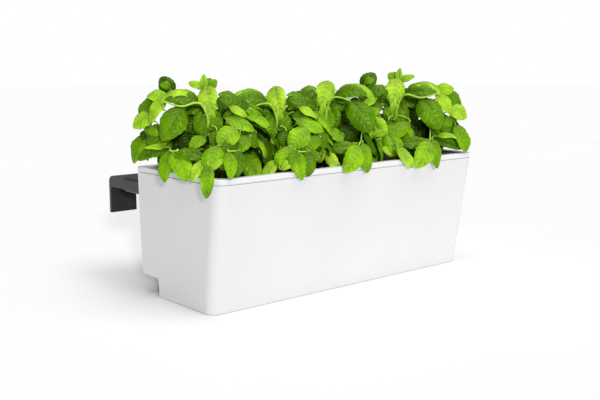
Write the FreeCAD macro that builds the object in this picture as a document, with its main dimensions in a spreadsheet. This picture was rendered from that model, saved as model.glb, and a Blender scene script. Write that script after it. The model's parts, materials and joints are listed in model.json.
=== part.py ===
import FreeCAD, Part
import math
import os
import Sketcher

# Self watering railing planter: a tapered trough with a water reservoir, a lift-out
# liner with wick cups, soil and four herb plants, a filler and level gauge tower,
# a drain plug, and two adjustable hook brackets that hang it on a wall or railing.
#
# Millimetres.  +X runs along the trough, +Y points to the wall behind it, +Z is up.
# Inside each body the trough's rear face is the plane y = 0; every sub-part's
# Placement then shifts it by rear_y, so that the origin is under the centre of
# the whole object's box, at the level of the flat base.

V = FreeCAD.Vector
doc = FreeCAD.newDocument("railing_planter")

# ----------------------------------------------------------------- dimensions
DIMS = [
    # trough
    ("rear_y", 39.0),            # shift of the trough's rear face from the origin
    ("planter_length", 580.0),   # at the parting line
    ("planter_depth", 225.3),    # at the parting line
    ("shell_height", 200.5),     # base to parting line
    ("end_taper", 0.022),        # each end, per unit of height
    ("front_taper", 0.144),      # front face, per unit of height
    ("shell_wall", 3.0),
    ("front_corner", 19.5),      # radius of the two front vertical corners
    ("rear_corner", 3.0),        # radius of the two rear vertical corners
    ("base_edge", 3.0),          # rounding along the bottom edges
    ("notch_high", 31.6),        # recess along the bottom of the rear face
    ("notch_deep", 51.3),
    ("bead_z", 15.2),            # small bead along the recess wall
    ("bead_proud", 1.8),
    # liner
    ("reveal", 1.7),             # shadow line under the rim
    ("rim_top", 210.0),
    ("rim_wide", 12.0),
    ("rim_rear", 12.5),
    ("liner_wall", 2.5),
    ("liner_floor_z", 62.0),
    ("liner_floor", 2.5),
    ("seat_gap", 0.3),           # liner seat above the shell's edge
    # wick cups
    ("cup_pitch", 170.0),
    ("cup_y", -112.0),
    ("cup_top_radius", 30.0),
    ("cup_foot_radius", 23.0),
    ("cup_foot_z", 6.0),
    ("cup_wall", 2.0),
    ("cup_flange", 37.0),
    # soil and plants
    ("soil_top", 189.0),
    ("ball_radius", 48.0),
    ("ball_foot_radius", 44.0),
    ("ball_foot_z", 120.4),
    ("ball_top_z", 189.6),
    ("plant_y", -115.0),
    ("plant1_x", -212.0),        # the four plants, unevenly spaced as grown
    ("plant2_x", -86.0),
    ("plant3_x", 38.0),
    ("plant4_x", 200.0),
    ("seam12_x", -152.0),        # where neighbouring crowns meet
    ("seam23_x", -24.0),
    ("seam34_x", 116.0),
    ("stem_radius", 2.6),
    ("leaf_skin", 6.0),
    ("leaf_low_z", 212.0),
    ("leaf_wide_z", 242.0),
    ("leaf_shoulder_z", 305.0),
    ("leaf_top_z", 355.0),
    ("leaf_end_x", 328.0),
    ("leaf_front_y", -255.0),
    ("leaf_rear_y", 8.0),
    # filler and gauge tower
    ("tower_x0", 200.0),
    ("tower_x1", 268.0),
    ("tower_y0", -51.0),
    ("tower_y1", -21.0),
    ("tower_top", 204.0),
    ("tower_foot", 36.0),        # the duct ends above the recess
    ("tube_foot", 6.0),          # the gauge tube stands in the deep part
    ("duct_x", 217.5),
    ("duct_wide", 28.0),
    ("duct_deep", 22.0),
    ("duct_y", -36.0),
    ("gauge_x", 256.0),
    ("gauge_y", -70.0),
    ("tube_radius", 13.2),
    ("gauge_bore", 9.0),
    ("lens_bore", 11.0),
    ("lens_radius", 10.7),
    ("lens_z0", 160.3),
    ("lens_z1", 207.6),
    ("float_radius", 8.4),
    ("float_z", 8.4),
    ("float_high", 20.0),
    ("rod_radius", 1.5),
    ("pointer_radius", 5.0),
    ("pointer_z", 163.0),
    ("pointer_high", 9.0),
    ("pin_x", 236.0),
    ("pin_y", -46.5),
    ("pin_radius", 2.0),
    ("cover_z", 204.3),
    ("cover_thick", 2.4),
    # drain plug
    ("drain_z", 16.0),
    ("drain_radius", 7.0),
    ("drain_boss", 3.0),
    ("plug_radius", 6.6),
    ("plug_flange", 10.6),
    # brackets
    ("bracket_x", 219.0),        # centre of each bracket from the middle
    ("bracket_half", 30.0),
    ("plate_y0", 0.3),
    ("plate_thick", 4.0),
    ("plate_low_z", 26.6),
    ("pad_thick", 1.5),
    ("sleeve_low", 150.0),
    ("sleeve_top", 175.6),
    ("sleeve_end", 115.0),
    ("sleeve_wall", 2.5),
    ("sleeve_side", 3.8),
    ("arm_gap", 0.3),
    ("arm_front_y", 57.5),
    ("lip_inner_y", 171.0),
    ("lip_thick", 6.0),
    ("lip_low", 105.0),
    ("foot_thick", 4.7),
    ("foot_reach", 40.0),
    ("boss_y", 72.0),
    ("boss_radius", 13.0),
    ("boss_top", 183.0),
    ("screw_radius", 3.95),
    ("screw_bore", 4.0),
    ("shoe_radius", 6.2),
    ("shoe_recess", 6.8),
    ("shoe_thick", 2.4),
    ("knob_radius", 13.0),
    ("knob_high", 8.5),
]

sheet = doc.addObject("Spreadsheet::Sheet", "dims")
for row, (alias, number) in enumerate(DIMS):
    cell = "A%d" % (row + 1)
    sheet.set(cell, "%g" % number)
    sheet.setAlias(cell, alias)
doc.recompute()


class Q(object):
    """A size with its value in mm and the spreadsheet expression it comes from."""

    def __init__(self, value, text=None):
        self.v = float(value)
        self.t = text if text is not None else "(%s)" % repr(float(value))

    @staticmethod
    def of(other):
        return other if isinstance(other, Q) else Q(other)

    def __add__(self, other):
        o = Q.of(other)
        return Q(self.v + o.v, "(%s + %s)" % (self.t, o.t))

    __radd__ = __add__

    def __sub__(self, other):
        o = Q.of(other)
        return Q(self.v - o.v, "(%s - %s)" % (self.t, o.t))

    def __rsub__(self, other):
        return Q.of(other) - self

    def __mul__(self, other):
        o = Q.of(other)
        return Q(self.v * o.v, "(%s * %s)" % (self.t, o.t))

    __rmul__ = __mul__

    def __truediv__(self, other):
        o = Q.of(other)
        return Q(self.v / o.v, "(%s / %s)" % (self.t, o.t))

    def __neg__(self):
        return Q(-self.v, "(0 - %s)" % self.t)


NUM = dict(DIMS)


def D(alias):
    return Q(NUM[alias], "dims." + alias)


def bind(obj, prop, size):
    obj.setExpression(prop, Q.of(size).t)


FINAL = []      # every sub-part, in order


def finish_part(obj, label, dx=0, dy=None, dz=0):
    """Name a sub-part and place it in the planter's frame."""
    obj.Label = label
    dx, dz = Q.of(dx), Q.of(dz)
    dy = D("rear_y") if dy is None else D("rear_y") + dy
    obj.Placement = FreeCAD.Placement(V(dx.v, dy.v, dz.v), obj.Placement.Rotation)
    bind(obj, "Placement.Base.x", dx)
    bind(obj, "Placement.Base.y", dy)
    bind(obj, "Placement.Base.z", dz)
    FINAL.append(obj)
    return obj


class Piece(object):
    """One PartDesign body built from sketches and features."""

    def __init__(self, name):
        self.name = name
        self.body = doc.addObject("PartDesign::Body", name + "_body")
        self.n = 0

    def _name(self, what):
        self.n += 1
        return "%s_%s%d" % (self.name, what, self.n)

    def plane(self, role):
        for o in self.body.Origin.OriginFeatures:
            if o.Role == role:
                return o

    def sketch(self, role, off=0, shift=None):
        sk = self.body.newObject("Sketcher::SketchObject", self._name("sketch"))
        sk.AttachmentSupport = [(self.plane(role), "")]
        sk.MapMode = "FlatFace"
        off = Q.of(off)
        sx, sy = (Q.of(0), Q.of(0)) if shift is None else (Q.of(shift[0]), Q.of(shift[1]))
        sk.AttachmentOffset = FreeCAD.Placement(V(sx.v, sy.v, off.v), FreeCAD.Rotation())
        bind(sk, "AttachmentOffset.Base.z", off)
        if shift is not None:
            bind(sk, "AttachmentOffset.Base.x", sx)
            bind(sk, "AttachmentOffset.Base.y", sy)
        return sk

    @staticmethod
    def _fix(sk, geo, pt, p):
        for kind, q in (("DistanceX", Q.of(p[0])), ("DistanceY", Q.of(p[1]))):
            i = sk.addConstraint(Sketcher.Constraint(kind, -1, 1, geo, pt, q.v))
            bind(sk, "Constraints[%d]" % i, q)

    def outline(self, sk, pts, radii=None):
        """Closed outline; corners with a radius must join edges along the axes."""
        n = len(pts)
        pts = [(Q.of(x), Q.of(y)) for x, y in pts]
        radii = [0] * n if radii is None else radii
        rad = [Q.of(r) for r in radii]

        def unit(a, b):
            dx, dy = b[0].v - a[0].v, b[1].v - a[1].v
            ln = math.hypot(dx, dy)
            return dx / ln, dy / ln

        before, after, turn = [], [], []
        for i in range(n):
            p, q, r = pts[i - 1], pts[i], pts[(i + 1) % n]
            di, do = unit(p, q), unit(q, r)
            turn.append(di[0] * do[1] - di[1] * do[0])
            if rad[i].v > 0:
                before.append(tuple(q[k] - rad[i] * round(di[k]) for k in (0, 1)))
                after.append(tuple(q[k] + rad[i] * round(do[k]) for k in (0, 1)))
            else:
                before.append(q)
                after.append(q)
        lines = []
        for i in range(n):
            a, b = after[i], before[(i + 1) % n]
            g = sk.addGeometry(Part.LineSegment(V(a[0].v, a[1].v, 0), V(b[0].v, b[1].v, 0)), False)
            lines.append(g)
            self._fix(sk, g, 1, a)
        for i in range(n):
            prev, nxt = lines[i - 1], lines[i]
            if rad[i].v > 0:
                self._fix(sk, prev, 2, before[i])
                b, a = before[i], after[i]
                c = (b[0].v + a[0].v - pts[i][0].v, b[1].v + a[1].v - pts[i][1].v)
                t0 = math.atan2(b[1].v - c[1], b[0].v - c[0])
                t1 = math.atan2(a[1].v - c[1], a[0].v - c[0])
                if turn[i] < 0:
                    t0, t1 = t1, t0
                if t1 < t0:
                    t1 += 2 * math.pi
                circle = Part.Circle(V(c[0], c[1], 0), V(0, 0, 1), rad[i].v)
                g = sk.addGeometry(Part.ArcOfCircle(circle, t0, t1), False)
                first, last = (1, 2) if turn[i] > 0 else (2, 1)
                sk.addConstraint(Sketcher.Constraint("Coincident", prev, 2, g, first))
                sk.addConstraint(Sketcher.Constraint("Coincident", nxt, 1, g, last))
                k = sk.addConstraint(Sketcher.Constraint("Radius", g, rad[i].v))
                bind(sk, "Constraints[%d]" % k, rad[i])
            else:
                sk.addConstraint(Sketcher.Constraint("Coincident", prev, 2, nxt, 1))
        return sk

    def rect(self, sk, x0, x1, y0, y1, radii=None):
        r = radii if isinstance(radii, (list, tuple)) else [radii or 0] * 4
        return self.outline(sk, [(x0, y0), (x1, y0), (x1, y1), (x0, y1)], r)

    def circle(self, sk, cx, cy, r):
        cx, cy, r = Q.of(cx), Q.of(cy), Q.of(r)
        g = sk.addGeometry(Part.Circle(V(cx.v, cy.v, 0), V(0, 0, 1), r.v), False)
        k = sk.addConstraint(Sketcher.Constraint("Radius", g, r.v))
        bind(sk, "Constraints[%d]" % k, r)
        self._fix(sk, g, 3, (cx, cy))
        return sk

    def pad(self, sk, length, symmetric=False, reverse=False):
        f = self.body.newObject("PartDesign::Pad", self._name("pad"))
        f.Profile = sk
        f.Type = "Length"
        bind(f, "Length", length)
        f.Length = Q.of(length).v
        f.SideType = "Symmetric" if symmetric else "One side"
        f.Reversed = reverse
        return f

    def pocket(self, sk, length, symmetric=False, reverse=False):
        f = self.body.newObject("PartDesign::Pocket", self._name("pocket"))
        f.Profile = sk
        f.Type = "Length"
        bind(f, "Length", length)
        f.Length = Q.of(length).v
        f.SideType = "Symmetric" if symmetric else "One side"
        f.Reversed = reverse
        return f

    def revolve(self, sk, cut=False):
        kind = "PartDesign::Groove" if cut else "PartDesign::Revolution"
        f = self.body.newObject(kind, self._name("turned"))
        f.Profile = sk
        f.ReferenceAxis = (sk, ["V_Axis"])
        f.Angle = 360
        return f

    def loft(self, first, rest, cut=False):
        kind = "PartDesign::SubtractiveLoft" if cut else "PartDesign::AdditiveLoft"
        f = self.body.newObject(kind, self._name("loft"))
        f.Profile = first
        f.Sections = list(rest)
        f.Ruled = True
        f.Closed = False
        return f

    def polar(self, feature, count, angle):
        f = self.body.newObject("PartDesign::PolarPattern", self._name("polar"))
        f.Originals = [feature]
        f.Axis = (self.plane("Z_Axis"), [""])
        f.Angle = angle
        f.Occurrences = count
        self.body.Tip = f
        return f

    def linear(self, feature, role, count, length):
        f = self.body.newObject("PartDesign::LinearPattern", self._name("row"))
        f.Originals = [feature]
        f.Direction = (self.plane(role), [""])
        f.Length = Q.of(length).v
        bind(f, "Length", length)
        f.Occurrences = count
        self.body.Tip = f
        return f

    def fillet(self, radius, keep):
        """Round the edges that keep(edge) picks on the shape so far."""
        doc.recompute()
        tip = self.body.Tip
        names = ["Edge%d" % (i + 1) for i, e in enumerate(tip.Shape.Edges) if keep(e)]
        if not names:
            raise RuntimeError("no edge to round on " + self.name)
        f = self.body.newObject("PartDesign::Fillet", self._name("fillet"))
        f.Base = (tip, names)
        bind(f, "Radius", radius)
        f.Radius = Q.of(radius).v
        return f

    def chamfer(self, size, keep):
        doc.recompute()
        tip = self.body.Tip
        names = ["Edge%d" % (i + 1) for i, e in enumerate(tip.Shape.Edges) if keep(e)]
        if not names:
            raise RuntimeError("no edge to bevel on " + self.name)
        f = self.body.newObject("PartDesign::Chamfer", self._name("chamfer"))
        f.Base = (tip, names)
        bind(f, "Size", size)
        f.Size = Q.of(size).v
        return f

    def done(self, label, dx=0, dy=None, dz=0):
        doc.recompute()
        return finish_part(self.body, label, dx, dy, dz)


def on_z(z, tol=0.01):
    return lambda e: all(abs(v.Point.z - z) < tol for v in e.Vertexes)


def box_of(e):
    return e.BoundBox


# ----------------------------------------------------------------- the trough
L2 = D("planter_length") / 2
H = D("shell_height")


def half_len(z):
    """Half length of the shell's outside at height z."""
    return L2 - D("end_taper") * (H - z)


def front_at(z):
    """y of the shell's front face at height z."""
    return -(D("planter_depth") - D("front_taper") * (H - z))


def trough_section(piece, z, inset, corner_f, corner_r, rear=0, off=None):
    x = half_len(z) - inset
    sk = piece.sketch("XY_Plane", z if off is None else off)
    return piece.rect(sk, -x, x, front_at(z) + inset, -Q.of(rear),
                      [corner_f, corner_f, corner_r, corner_r])


W3 = D("shell_wall")
shell = Piece("outer_shell")
shell.loft(trough_section(shell, Q(0), 0, D("front_corner"), D("rear_corner")),
           [trough_section(shell, H, 0, D("front_corner"), D("rear_corner"))])
inner_c = D("front_corner") - W3
shell.loft(trough_section(shell, W3, W3, inner_c, D("rear_corner") - W3, W3),
           [trough_section(shell, H + 2, W3, inner_c, D("rear_corner") - W3, W3)], cut=True)
shell.fillet(D("base_edge"), on_z(0))
# recess along the bottom of the rear face: wall and ceiling inside, then the cut
n_hi, n_dp = D("notch_high"), D("notch_deep")
sk = shell.sketch("YZ_Plane")
shell.rect(sk, -(n_dp + W3), Q(-1.5), Q(1.5), n_hi + W3)
shell.pad(sk, half_len(Q(0)) * 2 - 3, symmetric=True)
sk = shell.sketch("YZ_Plane")
shell.rect(sk, -n_dp, Q(8), Q(-6), n_hi, [0, 0, 0, 4])
shell.pocket(sk, D("planter_length") + 20, symmetric=True)
# bead along the recess wall
sk = shell.sketch("YZ_Plane")
bz, bp = D("bead_z"), D("bead_proud")
shell.outline(sk, [(-(n_dp + 1), bz - 1.6), (-n_dp, bz - 1.6), (-n_dp + bp, bz - 0.6),
                   (-n_dp + bp, bz + 0.6), (-n_dp, bz + 1.6), (-(n_dp + 1), bz + 1.6)])
shell.pad(sk, half_len(Q(0)) * 2 - 2, symmetric=True)
# boss and hole for the drain plug
sk = shell.sketch("XZ_Plane", n_dp + 1)
shell.circle(sk, Q(0), D("drain_z"), Q(14))
shell.pad(sk, D("drain_boss") + 1, reverse=True)
sk = shell.sketch("XZ_Plane", n_dp + W3 + 2)
shell.circle(sk, Q(0), D("drain_z"), D("drain_radius"))
shell.pocket(sk, W3 + D("drain_boss") + 6, reverse=False)
# slots in the rear wall for the brackets' tongues, sloping at 45 degrees
TONGUE_Z = Q(118.0)     # where the tongue's lower face meets the shell's rear face
TONGUE_T = Q(6.0)       # its height along the wall
for side in (-1, 1):
    sk = shell.sketch("YZ_Plane", D("bracket_x") * side)
    zl, zh = TONGUE_Z - 0.6, TONGUE_Z + TONGUE_T + 0.6
    shell.outline(sk, [(Q(1), zl - 1), (Q(1), zh - 1), (-(W3 + 1), zh + W3 + 1), (-(W3 + 1), zl + W3 + 1)])
    shell.pocket(sk, Q(41), symmetric=True)
# stiffening ribs under the reservoir's rear rail, standing on the recess ceiling
for side in (-1, 1):
    sk = shell.sketch("YZ_Plane", Q(95.0) * side)
    shell.outline(sk, [(-(n_dp + 2), n_hi + 2), (Q(-2), n_hi + 2), (Q(-2), n_hi + 22)])
    shell.pad(sk, Q(2.5), symmetric=True)
shell.done("outer_shell")

# ----------------------------------------------------------------- the liner
liner = Piece("soil_liner")
ZR = H + D("reveal")
TOP = D("rim_top")
RW, RR = D("rim_wide"), D("rim_rear")
LW = D("liner_wall")
FZ = D("liner_floor_z")
sk = liner.sketch("XY_Plane", ZR)
liner.rect(sk, -L2, L2, -D("planter_depth"), Q(0),
           [D("front_corner"), D("front_corner"), D("rear_corner"), D("rear_corner")])
liner.pad(sk, TOP - ZR)
liner.fillet(Q(1.8), lambda e: on_z(TOP.v)(e))
# seat ring that leaves the shadow line
sk = liner.sketch("XY_Plane", H + D("seat_gap"))
liner.rect(sk, -(L2 - 1.6), L2 - 1.6, -(D("planter_depth") - 1.6), Q(-1.6),
           [D("front_corner") - 1.6, D("front_corner") - 1.6, D("rear_corner") - 1.6, D("rear_corner") - 1.6])
liner.pad(sk, ZR - (H + D("seat_gap")) + 1)
# tub: outside and inside, tapering to the floor


def tub(piece, z, x_half, y_front, y_rear, rf, rr):
    sk = piece.sketch("XY_Plane", z)
    return piece.rect(sk, -x_half, x_half, y_front, y_rear, [rf, rf, rr, rr])


xi_top = L2 - RW
xo_top = xi_top + LW
yf_top = -(D("planter_depth") - RW)
xo_low = Q(276.0)
yf_low = Q(-198.5)
liner.loft(tub(liner, FZ, xo_low, yf_low, -(RR - LW), Q(18), Q(5)),
           [tub(liner, ZR + 1, xo_top, yf_top - LW, -(RR - LW), Q(18), Q(5))])
liner.loft(tub(liner, FZ + D("liner_floor"), xo_low - LW, yf_low + LW, -RR, Q(15.5), Q(2.5)),
           [tub(liner, TOP + 2, xi_top, yf_top, -RR, Q(15.5), Q(2.5))], cut=True)
liner.fillet(Q(1.2), lambda e: on_z(TOP.v)(e) and abs(box_of(e).Center.x) < NUM["planter_length"] / 2 - 3
             and -NUM["planter_depth"] + 4 < box_of(e).Center.y < -4)
# holes for the three wick cups
sk = liner.sketch("XY_Plane", FZ - 1)
for i in (-1, 0, 1):
    liner.circle(sk, D("cup_pitch") * i, D("cup_y"), D("cup_top_radius") + 0.3)
liner.pocket(sk, D("liner_floor") + 4, reverse=True)
# hole for the tower
sk = liner.sketch("XY_Plane", FZ - 1)
liner.rect(sk, D("tower_x0") - 0.3, D("tower_x1") + 0.3, D("tower_y0") - 0.3, D("tower_y1") + 0.3, Q(4.3))
liner.pocket(sk, D("liner_floor") + 4, reverse=True)
sk = liner.sketch("XY_Plane", FZ - 1)
liner.circle(sk, D("gauge_x"), D("gauge_y"), D("tube_radius") + 0.3)
liner.pocket(sk, D("liner_floor") + 4, reverse=True)
sk = liner.sketch("XY_Plane", FZ - 1)
liner.rect(sk, D("gauge_x") - 8.3, D("gauge_x") + 8.3, D("gauge_y"), D("tower_y0") + 2)
liner.pocket(sk, D("liner_floor") + 4, reverse=True)
# rows of drainage slots through the floor
for x0 in (-240.0, -110.0, 65.0):
    sk = liner.sketch("XY_Plane", FZ - 1)
    liner.rect(sk, Q(x0), Q(x0 + 3.0), Q(-178.0), Q(-158.0))
    slot = liner.pocket(sk, D("liner_floor") + 4, reverse=True)
    liner.linear(slot, "X_Axis", 6, Q(45.0))
liner.done("soil_liner")

# ----------------------------------------------------------------- wick cups
for i, word in ((-1, "left"), (0, "middle"), (1, "right")):
    cup = Piece("wick_cup_" + word)
    ft = FZ + D("liner_floor") + 0.2
    rt, rf, cw, cz = D("cup_top_radius"), D("cup_foot_radius"), D("cup_wall"), D("cup_foot_z")
    sk = cup.sketch("XZ_Plane")
    cup.outline(sk, [(Q(0), cz), (rf, cz), (rt, ft), (D("cup_flange"), ft), (D("cup_flange"), ft + 2.2),
                     (rt - cw, ft + 2.2), (rf - cw, cz + cw), (Q(0), cz + cw)])
    cup.revolve(sk)
    sk = cup.sketch("XZ_Plane")
    cup.rect(sk, Q(-1.6), Q(1.6), cz + 6, FZ - 8)
    slots = cup.pocket(sk, D("cup_flange") * 2, symmetric=True)
    cup.polar(slots, 4, 135)
    cup.done("wick_cup_" + word, D("cup_pitch") * i, D("cup_y"))

# ----------------------------------------------------------------- potting soil
soil = Piece("potting_soil")
SZ0 = FZ + D("liner_floor") + 2.8
ST = D("soil_top")
soil.loft(tub(soil, SZ0, xo_low - LW - 0.4, yf_low + LW + 0.4, -(RR + 0.3), Q(15.2), Q(2.3)),
          [tub(soil, ST, xi_top - 1.4, yf_top + 3.3, -(RR + 0.3), Q(15.2), Q(2.3))])
# a leg of soil reaches down into each wick cup
for i in (-1, 0, 1):
    rl_top = D("cup_top_radius") - D("cup_wall") - 0.5
    rl_low = D("cup_foot_radius") - D("cup_wall") - 0.2
    sk = soil.sketch("XY_Plane", SZ0 + 1)
    soil.circle(sk, D("cup_pitch") * i, D("cup_y"), rl_top)
    sk2 = soil.sketch("XY_Plane", D("cup_foot_z") + D("cup_wall") + 0.3)
    soil.circle(sk2, D("cup_pitch") * i, D("cup_y"), rl_low)
    soil.loft(sk, [sk2])
# room for the tower in the rear right corner
sk = soil.sketch("XY_Plane", ST + 2)
soil.rect(sk, D("tower_x0") - 1, L2 + 10, D("tower_y0") - 1, Q(5))
soil.pocket(sk, ST - SZ0 + 6)
sk = soil.sketch("XY_Plane", ST + 2)
soil.circle(sk, D("gauge_x"), D("gauge_y"), D("tube_radius") + 0.8)
soil.pocket(sk, ST - SZ0 + 6)
sk = soil.sketch("XY_Plane", ST + 2)
soil.rect(sk, D("gauge_x") - 8.8, D("gauge_x") + 8.8, D("gauge_y"), D("tower_y0"))
soil.pocket(sk, ST - SZ0 + 6)
# pockets for the root balls
sk = soil.sketch("XY_Plane", ST + 2)
for k in (1, 2, 3, 4):
    soil.circle(sk, D("plant%d_x" % k), D("plant_y"), D("ball_radius") + 0.5)
soil.pocket(sk, ST + 2 - (D("ball_foot_z") - 0.3))
soil.done("potting_soil")

# ----------------------------------------------------------------- the four plants
SEAM = Q(0.6)           # half the space between neighbouring crowns
PLANTS = (
    # label, x of the main stem, x range of the crown
    ("basil_1", D("plant1_x"), -D("leaf_end_x"), D("seam12_x") - SEAM),
    ("basil_2", D("plant2_x"), D("seam12_x") + SEAM, D("seam23_x") - SEAM),
    ("basil_3", D("plant3_x"), D("seam23_x") + SEAM, D("seam34_x") - SEAM),
    ("basil_4", D("plant4_x"), D("seam34_x") + SEAM, D("leaf_end_x")),
)
STEMS = (
    # foot offset x, y; lean in x, y (mm over the height); length
    (0.0, 0.0, 0.0, 0.0, 162.0),
    (11.0, 5.0, 26.0, 14.0, 128.0),
    (-12.0, 4.0, -28.0, 12.0, 124.0),
    (7.0, -10.0, 18.0, -34.0, 126.0),
    (-8.0, -11.0, -20.0, -36.0, 120.0),
    (1.0, 13.0, 4.0, 34.0, 112.0),
)
for word, px, xa, xb in PLANTS:
    # root ball
    ball = doc.addObject("Part::Cone", word + "_ball")
    bind(ball, "Radius1", D("ball_foot_radius"))
    bind(ball, "Radius2", D("ball_radius"))
    bind(ball, "Height", D("ball_top_z") - D("ball_foot_z"))
    doc.recompute()
    finish_part(ball, word + "_root_ball", px, D("plant_y"), D("ball_foot_z"))
    # stems, a bunch of separate round stalks
    stalks = []
    for j, (fx, fy, lx, ly, ln) in enumerate(STEMS):
        c = doc.addObject("Part::Cone", "%s_stalk%d" % (word, j))
        bind(c, "Radius1", D("stem_radius") * (1.0 if j else 1.25))
        bind(c, "Radius2", D("stem_radius") * 0.65)
        bind(c, "Height", Q(ln))
        direction = V(lx, ly, math.sqrt(max(ln * ln - lx * lx - ly * ly, 1.0)))
        c.Placement = FreeCAD.Placement(V(fx, fy, 0), FreeCAD.Rotation(V(0, 0, 1), direction))
        stalks.append(c)
    bunch = doc.addObject("Part::Compound", word + "_bunch")
    bunch.Links = stalks
    doc.recompute()
    finish_part(bunch, word + "_stems", px, D("plant_y"), D("ball_top_z") + 0.8)
    # crown of leaves: an open-bottomed dome with the crown's true outer shape
    crown = Piece(word + "_foliage")
    end_low = xa if word == "basil_1" else None
    end_high = xb if word == "basil_4" else None
    skin = D("leaf_skin")

    def level(z, fx, yf, yr, inset, r=18.0):
        """One level of the crown; fx is how far a free end draws in."""
        a = xa + (Q(fx) if end_low is not None else Q(0)) + inset
        b = xb - (Q(fx) if end_high is not None else Q(0)) - inset
        s = crown.sketch("XY_Plane", z)
        return crown.rect(s, a, b, yf + inset, yr - inset, Q(r) - inset)

    zl, zw, zs, zt = D("leaf_low_z"), D("leaf_wide_z"), D("leaf_shoulder_z"), D("leaf_top_z")
    yf, yr = D("leaf_front_y"), D("leaf_rear_y")
    outer = [level(zl, 22, yf + 14, yr - 14, Q(0)), level(zw, 0, yf, yr, Q(0)),
             level(zs, 24, yf + 26, yr - 22, Q(0)), level(zt, 66, yf + 74, yr - 62, Q(0))]
    crown.loft(outer[0], outer[1:])
    inner = [level(zl - 2, 22, yf + 14, yr - 14, skin), level(zw, 0, yf, yr, skin),
             level(zs - 3, 24, yf + 26, yr - 22, skin), level(zt - 6, 66, yf + 74, yr - 62, skin)]
    crown.loft(inner[0], inner[1:], cut=True)
    if word == "basil_4":
        # open bay above the filler and the gauge
        s = crown.sketch("XY_Plane", zt + 5)
        crown.rect(s, D("tower_x0") - 9, L2 - 10, D("tower_y0") - 9, yr + 20)
        crown.pocket(s, zt - zl + 20)
    crown.done(word + "_foliage")

# ----------------------------------------------------------------- filler and gauge tower
tower = Piece("filler_tower")
TX0, TX1, TY0, TY1 = D("tower_x0"), D("tower_x1"), D("tower_y0"), D("tower_y1")
TT, TF, GF = D("tower_top"), D("tower_foot"), D("tube_foot")
GX, GY = D("gauge_x"), D("gauge_y")
sk = tower.sketch("XY_Plane", TF)
tower.rect(sk, TX0, TX1, TY0, TY1, Q(4))
tower.pad(sk, TT - TF)
# web to the gauge tube, and the tube
sk = tower.sketch("XY_Plane", TF)
tower.rect(sk, GX - 8, GX + 8, GY, TY0 + 2)
tower.pad(sk, TT - TF)
sk = tower.sketch("XY_Plane", GF)
tower.circle(sk, GX, GY, D("tube_radius"))
tower.pad(sk, TT - GF)
# flanges that rest on the liner's floor
sk = tower.sketch("XY_Plane", FZ + D("liner_floor") + 0.2)
tower.rect(sk, TX0 - 2.5, TX1 + 2.5, TY0 - 2.5, TY1 + 2.5, Q(5))
tower.pad(sk, Q(2.2))
sk = tower.sketch("XY_Plane", FZ + D("liner_floor") + 0.2)
tower.circle(sk, GX, GY, D("tube_radius") + 2.5)
tower.pad(sk, Q(2.2))
# filler duct right through
sk = tower.sketch("XY_Plane", TT + 2)
tower.rect(sk, D("duct_x") - D("duct_wide") / 2, D("duct_x") + D("duct_wide") / 2,
           D("duct_y") - D("duct_deep") / 2, D("duct_y") + D("duct_deep") / 2, Q(3))
tower.pocket(sk, TT - TF + 8)
# hollow behind the web, to save material
sk = tower.sketch("XY_Plane", TF - 2)
tower.rect(sk, D("pin_x") + 4, TX1 - 3, TY0 + 3, TY1 - 3, Q(3))
tower.pocket(sk, TT - TF - 2, reverse=True)
# gauge bore, closed at its foot
sk = tower.sketch("XY_Plane", TT + 2)
tower.circle(sk, GX, GY, D("gauge_bore"))
tower.pocket(sk, TT + 2 - (GF + 1.8))
# wider seat for the lens
sk = tower.sketch("XY_Plane", TT + 2)
tower.circle(sk, GX, GY, D("lens_bore"))
tower.pocket(sk, TT + 2 - (D("lens_z0") - 0.3))
# slot that lets water reach the float
sk = tower.sketch("XZ_Plane", -(GY - D("tube_radius") - 1))
tower.rect(sk, GX - 2, GX + 2, GF + 4, FZ - 4)
tower.pocket(sk, Q(10))
# bore for the cover's pivot pin
sk = tower.sketch("XY_Plane", TT + 1)
tower.circle(sk, D("pin_x"), D("pin_y"), D("pin_radius") + 0.02)
tower.pocket(sk, Q(11.2))
tower.done("filler_tower")

# swivelling cover over the duct, with a bored ear for the pin and a finger tab
cover = Piece("filler_cover")
CZ, CT = D("cover_z"), D("cover_thick")
sk = cover.sketch("XY_Plane", CZ)
cx0 = D("duct_x") - D("duct_wide") / 2 - 2
cx1 = D("pin_x") + 3.6
cy0 = D("pin_y") - 3.6
cy1 = D("duct_y") + D("duct_deep") / 2 + 2
cover.rect(sk, cx0, cx1, cy0, cy1, [Q(3), Q(3.5), Q(3), Q(3)])
cover.pad(sk, CT)
sk = cover.sketch("XY_Plane", CZ + CT)
cover.rect(sk, cx0 + 3, cx0 + 6, cy0 + 9, cy1 - 9, Q(1.4))
cover.pad(sk, Q(2.2))
sk = cover.sketch("XY_Plane", CZ + CT + 1)
cover.circle(sk, D("pin_x"), D("pin_y"), D("pin_radius") + 0.05)
cover.pocket(sk, CT + 2)
cover.done("filler_cover")

pin = Piece("cover_pivot_pin")
sk = pin.sketch("XZ_Plane")
pr = D("pin_radius")
pin.outline(sk, [(Q(0), TT - 10), (pr, TT - 10), (pr, CZ + CT + 0.3), (pr + 1.5, CZ + CT + 0.3),
                 (pr + 1.5, CZ + CT + 1.1), (pr + 0.7, CZ + CT + 1.9), (Q(0), CZ + CT + 1.9)])
pin.revolve(sk)
pin.done("cover_pivot_pin", D("pin_x"), D("pin_y"))

lens = Piece("gauge_lens")
sk = lens.sketch("XZ_Plane")
lr, l0, l1 = D("lens_radius"), D("lens_z0"), D("lens_z1")
lens.outline(sk, [(lr - 2, l0), (lr, l0), (lr, l1 - 3), (lr - 3, l1), (Q(0), l1), (Q(0), l1 - 1.8),
                  (lr - 3.7, l1 - 1.8), (lr - 2, l1 - 3.6)])
lens.revolve(sk)
lens.done("gauge_lens", D("gauge_x"), D("gauge_y"))

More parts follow.
